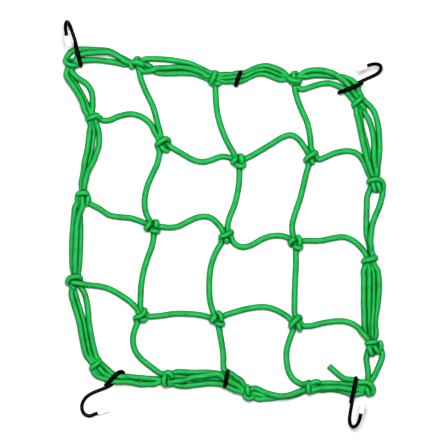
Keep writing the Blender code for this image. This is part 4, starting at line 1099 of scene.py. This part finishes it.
@dataclass(frozen=True)
class BraidFinish:
    """The woven sheath of an elastic cord: yarns that cross over and under in two helices."""

    name: str = "green_braid"
    light: Colour = (0.021, 0.43, 0.104)
    dark: Colour = (0.003, 0.15, 0.03)
    flank_shade: Colour = (0.001, 0.1, 0.02)  # painted shade on the cord's sides, which turn away from the light overhead
    flank_shade_share: float = 0.56
    flank_shade_power: float = 1.5
    # painted shade that darkens the very edges of the cord
    edge_shade_share: float = 0.3
    edge_shade_power: float = 8.0
    groove_shade: Colour = (0.0003, 0.042, 0.003)  # painted shade in the grooves where a cord lies against another
    groove_shade_share: float = 0.9
    yarns: int = 8  # round the cord, in each direction
    pitch: float = 0.4  # crossings for each millimetre along it
    crown_height: float = 0.5  # of a yarn between two crossings
    crossing_rise: float = 0.4  # what a yarn rises where it crosses another
    filaments: float = 5.0  # that each yarn is made of
    filament_height: float = 0.09
    cloud_scale: float = 90.0  # slow changes of tone, for each metre
    fuzz_scale: float = 2600.0
    streak_scale: tuple[float, float, float] = (1.3, 1.3, 0.09)  # drawn out along the cord
    tone: float = -0.62  # where every noise is 0, with 0 for dark and 1 for light
    cloud_tone: float = 0.6
    streak_tone: float = 1.5
    # painted shade in the weave's hollows, which are darker than its crowns
    weave_hollow_shade: float = 0.6
    fuzz_tone: float = 0.3
    fuzz_height: float = 0.35
    noise_roughness: float = 0.6
    roughness: float = 0.55
    roughness_change: float = 0.2
    relief: float = 0.00022

    def material(self) -> bpy.types.Material:
        """Builds the material.

        Returns:
            The material.
        """
        graph = Graph(self.name)
        maths = graph.maths
        lie = graph.add("Attribute", "Vector", attribute_name="cord_lie")
        parts = graph.nodes.new("ShaderNodeSeparateXYZ")
        graph.feed(parts.inputs[0], lie)
        angle = maths("ARCTAN2", parts.outputs[1], parts.outputs[0])
        round_it = maths("MULTIPLY", angle, self.yarns / math.tau)
        along = maths("MULTIPLY", parts.outputs[2], self.pitch)
        right, left = maths("ADD", round_it, along), maths("SUBTRACT", round_it, along)
        crowns, threads = [], []
        for way in (right, left):
            crowns.append(maths("SINE", maths("MULTIPLY", maths("FRACT", way), math.pi)))
            thread = maths("SINE", maths("MULTIPLY", way, self.filaments * math.tau))
            threads.append(maths("MULTIPLY", thread, self.filament_height))
        on_top = maths("FLOORED_MODULO", maths("ADD", maths("FLOOR", right), maths("FLOOR", left)), 2.0)
        rises = [maths("MULTIPLY_ADD", crown, self.crossing_rise, self.crown_height) for crown in crowns]
        over, under = [
            maths("MULTIPLY_ADD", crown, rise, thread)
            for crown, rise, thread in zip(crowns, reversed(rises), threads)
        ]
        height = maths("MULTIPLY_ADD", on_top, maths("SUBTRACT", over, under), under)
        place = graph.add("TexCoord", "Object")
        cloud = graph.noise(place, self.cloud_scale, roughness=self.noise_roughness)
        fuzz = graph.noise(place, self.fuzz_scale, 2.0, self.noise_roughness)
        drawn = graph.add("Mapping", Vector=lie, Scale=self.streak_scale)
        streak = graph.noise(drawn, 1.0, roughness=self.noise_roughness)
        tone = maths("MULTIPLY_ADD", streak, self.streak_tone, self.tone)
        tone = maths("MULTIPLY_ADD", cloud, self.cloud_tone, tone)
        # Painted shade: the weave's hollows are darker than its crowns.
        tone = maths("MULTIPLY_ADD", height, self.weave_hollow_shade, tone)
        tone = maths("ADD", tone, graph.vary(fuzz, 0.0, self.fuzz_tone))
        colour = graph.blend(graph.clamp(tone), self.dark, self.light)
        # Painted shade: the cord is darker towards its sides and darkest at its very edges.
        across = maths("ABSOLUTE", parts.outputs[0])
        side = maths("MULTIPLY", maths("POWER", across, self.flank_shade_power), self.flank_shade_share)
        side = maths("MULTIPLY_ADD", maths("POWER", across, self.edge_shade_power), self.edge_shade_share, side)
        colour = graph.blend(side, colour, self.flank_shade)
        # Painted shade in the grooves where cords lie close against each other.
        painted_shade = graph.add("Attribute", "Fac", attribute_name="cord_groove_shade")
        colour = graph.blend(maths("MULTIPLY", painted_shade, self.groove_shade_share), colour, self.groove_shade)
        relief = maths("MULTIPLY_ADD", fuzz, self.fuzz_height, height)
        bump = graph.add("Bump", "Normal", Height=relief, Distance=self.relief, Strength=0.8)
        rough = graph.vary(cloud, self.roughness, self.roughness_change)
        return graph.shade(
            Base_Color=colour, Roughness=rough, Normal=bump, Specular_IOR_Level=0.25,
            Sheen_Weight=0.05, Sheen_Roughness=0.45, Sheen_Tint=(0.1, 1.0, 0.3),
        )


@dataclass(frozen=True)
class CoatedWireFinish:
    """Black coated steel wire, glossy, with a little orange peel and rubbed spots."""

    name: str = "black_coated_wire"
    colour: Colour = (0.0012, 0.0012, 0.0013)
    rubbed: Colour = (0.006, 0.006, 0.0065)
    roughness: float = 0.3
    roughness_change: float = 0.1
    rubbed_roughness: float = 0.22  # what a rubbed spot adds
    spot_scale: float = 900.0
    patch_scale: float = 160.0
    spot_level: float = 0.56  # the noise above which a spot is rubbed
    spot_contrast: float = 6.0
    relief: float = 0.00004

    def material(self) -> bpy.types.Material:
        """Builds the material.

        Returns:
            The material.
        """
        graph = Graph(self.name)
        place = graph.add("TexCoord", "Object")
        spots = graph.noise(place, self.spot_scale, roughness=0.55)
        patch = graph.noise(place, self.patch_scale, 2.0)
        worn = graph.maths("MULTIPLY", graph.maths("SUBTRACT", spots, self.spot_level), self.spot_contrast)
        worn = graph.clamp(worn)
        colour = graph.blend(graph.maths("MULTIPLY", worn, patch), self.colour, self.rubbed)
        rough = graph.vary(patch, self.roughness, self.roughness_change)
        rough = graph.maths("MULTIPLY_ADD", worn, self.rubbed_roughness, rough)
        bump = graph.add("Bump", "Normal", Height=spots, Distance=self.relief, Strength=0.5)
        return graph.shade(
            Base_Color=colour, Roughness=rough, Normal=bump, Coat_Weight=0.02,
            Coat_Roughness=0.15, Specular_IOR_Level=0.06,
        )


@dataclass(frozen=True)
class SleeveFinish:
    """Milky soft plastic of the sleeves on the hooks' free ends."""

    name: str = "milky_sleeve"
    colour: Colour = (0.86, 0.87, 0.84)
    shade: Colour = (0.74, 0.76, 0.72)
    roughness: float = 0.4
    roughness_change: float = 0.2
    cloud_scale: float = 260.0
    grain_scale: float = 2400.0
    relief: float = 0.00003
    scatter: Colour = (0.0012, 0.0012, 0.0012)

    def material(self) -> bpy.types.Material:
        """Builds the material.

        Returns:
            The material.
        """
        graph = Graph(self.name)
        place = graph.add("TexCoord", "Object")
        cloud = graph.noise(place, self.cloud_scale)
        grain = graph.noise(place, self.grain_scale, 2.0)
        bump = graph.add("Bump", "Normal", Height=grain, Distance=self.relief, Strength=0.4)
        return graph.shade(
            Base_Color=graph.blend(cloud, self.shade, self.colour), Normal=bump,
            Roughness=graph.vary(cloud, self.roughness, self.roughness_change),
            Subsurface_Weight=0.35, Subsurface_Radius=self.scatter, Coat_Weight=0.15,
            Coat_Roughness=0.3,
        )


@dataclass(frozen=True)
class FloorFinish:
    """The plain pale ground that the net lies on."""

    name: str = "pale_floor"
    colour: Colour = (0.66, 0.66, 0.66)

    def material(self) -> bpy.types.Material:
        """Builds the material."""
        return Graph(self.name).shade(Base_Color=self.colour, Roughness=0.9, Specular_IOR_Level=0.0)


# Sub-assemblies.


class NetPart(Enum):
    """The parts that the net's strands are made up in."""

    ROWS = "net_rows"
    COLUMNS = "net_columns"
    TOP = "net_border_top"
    RIGHT = "net_border_right"
    BOTTOM = "net_border_bottom"
    LEFT = "net_border_left"

    @classmethod
    def of(cls, strand: Strand) -> "NetPart":
        """Tells which part a strand belongs to.

        Args:
            strand: The strand.

        Returns:
            Its part.
        """
        ends = {strand.start, strand.end} - {""}
        for part, knots in (
            (cls.TOP, {"TL", "T1", "T2", "T3", "TR"}),
            (cls.RIGHT, {"TR", "R1", "R2", "R3", "BR"}),
            (cls.BOTTOM, {"BR", "B3", "B2", "B1", "BL"}),
            (cls.LEFT, {"BL", "L3", "L2", "L1", "TL"}),
        ):
            if ends <= knots:
                return part
        first, last = KNOT_PLACES[strand.start], KNOT_PLACES[strand.end]
        across = abs(last.x - first.x) > abs(last.y - first.y)
        return cls.ROWS if across else cls.COLUMNS


@dataclass
class CordNet:
    """The knotted net: its settled strands, and the turns of every knot."""

    routes: list[Points]
    cord_radius: float = 2.95
    knot_cord_radius: float = 2.8
    lift: float = 0.4  # what the full cord stands higher than the CAD's plain one
    end_reach: float = 10.0  # the stretch of a strand that turns into its knot
    entering_height: float = 6.4
    leaving_height: float = 5.4
    crossing_height: float = 7.6  # of the upper cord that enters a clover
    spread: float = 0.72  # how far strands stay side by side where they enter a knot
    widest_spread: float = 4.6
    clover_spread: float = 0.3  # the share of it that is left in a clover
    clover_heading: float = 50.0  # degrees from a clover's turn to the way its cords enter
    floor_gap: float = 0.03
    strand_step: float = 1.1
    turn_step: float = 0.8
    turn_groove_shade: float = 0.6  # how much of the painted groove shade shows on a knot's turns
    finish: BraidFinish = field(default_factory=BraidFinish)

    def build(self) -> list[bpy.types.Object]:
        """Builds all the net's pieces.

        Returns:
            The pieces.
        """
        groups: dict[str, list[Tube]] = {part.value: [] for part in NetPart}
        for strand, route in zip(STRANDS, self.routes):
            groups[NetPart.of(strand).value].append(self.strand_tube(strand, route))
        for name, inner in (("net_inner_knots", True), ("net_border_knots", False)):
            knots = [knot for knot in KNOTS if knot.name.startswith("M") is inner]
            groups[name] = [tube for knot in knots for tube in self.knot_tubes(knot)]
        # Paints shade into the cords where they lie close together.
        painted_shade = PaintedGrooveShade([tube for group in groups.values() for tube in group])
        material = self.finish.material()
        return [
            add_piece(join(map(painted_shade.make, group), name), material, ["net"])
            for name, group in groups.items()
        ]

    def strand_tube(self, strand: Strand, route: Points) -> Tube:
        """Lays one strand.

        Args:
            strand: The strand.
            route: Its points at rest.

        Returns:
            Its tube.
        """
        points = route + np.array([0.0, 0.0, self.lift])
        points[1:-1] = (points[:-2] + 2 * points[1:-1] + points[2:]) / 4
        points = self._into_knot(points, KNOT_PLACES[strand.start], False)
        if strand.end:
            points = self._into_knot(points[::-1], KNOT_PLACES[strand.end], True)[::-1]
        end = EndShape.HIDDEN if strand.end else EndShape.CUT
        line = smooth_route(points)
        line[:, 2] = np.maximum(line[:, 2], self.cord_radius + self.floor_gap)
        return Tube(line, self.cord_radius * strand.width, self.strand_step, EndShape.HIDDEN, end)

    def _into_knot(self, points: Points, knot: Knot, enters: bool) -> Points:
        """Lifts and parts the stretch of a strand that goes into a knot.

        Args:
            points: The strand's points, from the knot on.
            knot: The knot.
            enters: Whether the strand ends in the knot, and doesn't start from it.

        Returns:
            The strand's points with the first of them moved.
        """
        along = lengths_along(points)
        share = np.clip(1 - along / self.end_reach, 0.0, 1.0)
        weight = (share**2 * (3 - 2 * share))[:, None]
        turn = math.radians(knot.turn)
        across = np.array([math.cos(turn), math.sin(turn), 0.0])
        reach = read_route(points, np.array([self.end_reach]))[0] - points[0]
        aside = float(np.clip(self.spread * reach @ across, -self.widest_spread, self.widest_spread))
        height = self.entering_height if enters else self.leaving_height
        if knot.face is KnotFace.CLOVER:
            aside *= self.clover_spread
            steep = abs(reach[1]) > abs(reach[0])
            height = self.crossing_height if enters and steep else height
        target = aside * across + np.array([0.0, 0.0, height - points[0, 2]])
        return points + weight * target

    def knot_tubes(self, knot: Knot) -> list[Tube]:
        """Lays the turns of cord on both faces of one knot.

        Args:
            knot: The knot.

        Returns:
            A tube for each turn.
        """
        turns = [(turn.width, plan_route(turn.points)) for turn in KNOT_TURNS[knot.name]]
        for turn in UNDERSIDES[knot.face]:
            points = np.array([self._underside_point(knot, *point) for point in turn.points])
            turns.append((turn.width, points))
        return [
            Tube(smooth_route(points), self.knot_cord_radius * width, self.turn_step, EndShape.ROUND,
                 EndShape.ROUND, self.turn_groove_shade)
            for width, points in turns
        ]

    def _underside_point(self, knot: Knot, x: float, y: float, z: float) -> tuple[float, float, float]:
        """Turns a point of a knot's own frame into the frame of the CAD.

        Args:
            knot: The knot.
            x: The point's place along the knot's turn.
            y: Its place across it.
            z: Its height above the ground.

        Returns:
            The point in the frame of the CAD, in millimetres.
        """
        heading = self.clover_heading if knot.face is KnotFace.CLOVER else 0.0
        angle = math.radians(knot.turn + heading)
        centre = plan_point(knot.x, knot.y)
        return (
            centre[0] + x * math.cos(angle) - y * math.sin(angle),
            centre[1] + x * math.sin(angle) + y * math.cos(angle),
            z,
        )


@dataclass
class WireHook:
    """A bent wire hook with the sleeve on its free end."""

    wire: Wire
    wire_radius: float = 1.7
    eye_swell: tuple[float, ...] = (1.0, 1.2, 1.28, 1.28, 1.2, 1.05) + (1.0,) * 14  # stands for doubled wire
    sleeve_radius: float = 2.6
    sleeve_sides: int = 24
    sleeve_step: float = 0.8
    sleeve_length: float = 12.0
    sleeve_cap: float = 1.4  # of the sleeve past the wire's end

    def build(
        self, wire_material: bpy.types.Material, sleeve_material: bpy.types.Material
    ) -> list[bpy.types.Object]:
        """Builds the hook and its sleeve.

        Args:
            wire_material: The wire's material.
            sleeve_material: The sleeve's.

        Returns:
            The two pieces.
        """
        route = wire_route(self.wire, self.wire_radius)
        length = lengths_along(route)[-1]
        inside = cut_route(route, 0.0, length - self.sleeve_cap)
        bent = Sweep(self.wire_radius, step=WIRE_STEP).make(
            inside, EndShape.CUT, swell=np.array(self.eye_swell)
        )
        name = self.wire.name
        hook = add_piece(join([bent], f"wire_hook_{name}"), wire_material, [f"hook_{name}"])
        outside = cut_route(route, length - self.sleeve_length, length)
        tube = Sweep(self.sleeve_radius, self.sleeve_sides, self.sleeve_step).make(
            outside, EndShape.CUT, EndShape.ROUND
        )
        sleeve = add_piece(join([tube], f"sleeve_{name}"), sleeve_material, [f"tip_{name}"])
        return [hook, sleeve]


@dataclass
class WireRing:
    """A ring of bent wire round the border, its two ends meeting underneath."""

    wire: Wire
    wire_radius: float = 2.15

    def build(self, material: bpy.types.Material) -> bpy.types.Object:
        """Builds the ring.

        Args:
            material: The wire's material.

        Returns:
            The piece.
        """
        route = wire_route(self.wire, self.wire_radius)
        bent = Sweep(self.wire_radius, step=WIRE_STEP).make(route, EndShape.CUT, EndShape.CUT)
        return add_piece(join([bent], f"wire_{self.wire.name}"), material, [self.wire.name])


@dataclass
class Studio:
    """The floor, the lights and the camera straight above the net."""

    floor_size: float = 8.0
    camera_height: float = 3.2
    sensor: float = 36.0
    lamp_height: float = 2.4
    lamp_offset: float = 0.42  # towards the top of the picture
    lamp_size: float = 1.3
    lamp_power: float = 79.0
    sky: float = 0.09

    def build(self) -> None:
        """Builds the stage."""
        shape = bmesh.new()
        bmesh.ops.create_grid(shape, x_segments=4, y_segments=4, size=self.floor_size / 2)
        mesh = bpy.data.meshes.new("floor")
        shape.to_mesh(mesh)
        shape.free()
        mesh.materials.append(FloorFinish().material())
        floor = bpy.data.objects.new("floor", mesh)
        bpy.context.scene.collection.objects.link(floor)
        centre = [value * METRES for value in plan_point(*PLAN_MIDDLE)]
        lens = self.sensor * self.camera_height / (VIEW_WIDTH * METRES)
        self._camera(Vector((centre[0], centre[1], self.camera_height)), lens)
        self._lamp(Vector((centre[0], centre[1] + self.lamp_offset, self.lamp_height)))
        world = bpy.data.worlds.new("studio")
        world.use_nodes = True
        background = world.node_tree.nodes["Background"]
        background.inputs["Color"].default_value = (1.0, 1.0, 1.0, 1.0)
        background.inputs["Strength"].default_value = self.sky
        bpy.context.scene.world = world
        bpy.context.scene.view_settings.view_transform = "Standard"
        bpy.context.scene.view_settings.look = "High Contrast"

    def _camera(self, place: Vector, lens: float) -> None:
        """Hangs the camera over the net, looking straight down.

        Args:
            place: Where it hangs, in metres.
            lens: Its focal length in millimetres.
        """
        camera = bpy.data.objects.new("camera", bpy.data.cameras.new("camera"))
        camera.data.sensor_width = self.sensor
        camera.data.lens = lens
        camera.location = place
        bpy.context.scene.collection.objects.link(camera)
        bpy.context.scene.camera = camera

    def _lamp(self, place: Vector) -> None:
        """Hangs the soft light over the net.

        Args:
            place: Where it hangs, in metres.
        """
        data = bpy.data.lights.new("soft_light", "AREA")
        data.size = self.lamp_size
        data.energy = self.lamp_power
        lamp = bpy.data.objects.new("soft_light", data)
        lamp.location = place
        lamp.rotation_euler = (-place).to_track_quat("-Z", "Y").to_euler()
        bpy.context.scene.collection.objects.link(lamp)


def main() -> None:
    """Dresses the cargo net and sets the stage."""
    logging.basicConfig(level=logging.INFO, format="%(name)s: %(message)s")
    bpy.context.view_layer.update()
    Studio().build()
    settling = CordSettling()
    wires = [even_route(plan_route(wire.route), WIRE_SAMPLE_STEP) for wire in HOOKS + RINGS]
    widths = [strand.width for strand in STRANDS]
    routes = settling.settle([settling.start(strand) for strand in STRANDS], wires, widths)
    CordNet(routes).build()
    wire_material, sleeve_material = CoatedWireFinish().material(), SleeveFinish().material()
    for wire in HOOKS:
        WireHook(wire).build(wire_material, sleeve_material)
    for wire in RINGS:
        WireRing(wire).build(wire_material)


if __name__ == "__main__":
    main()
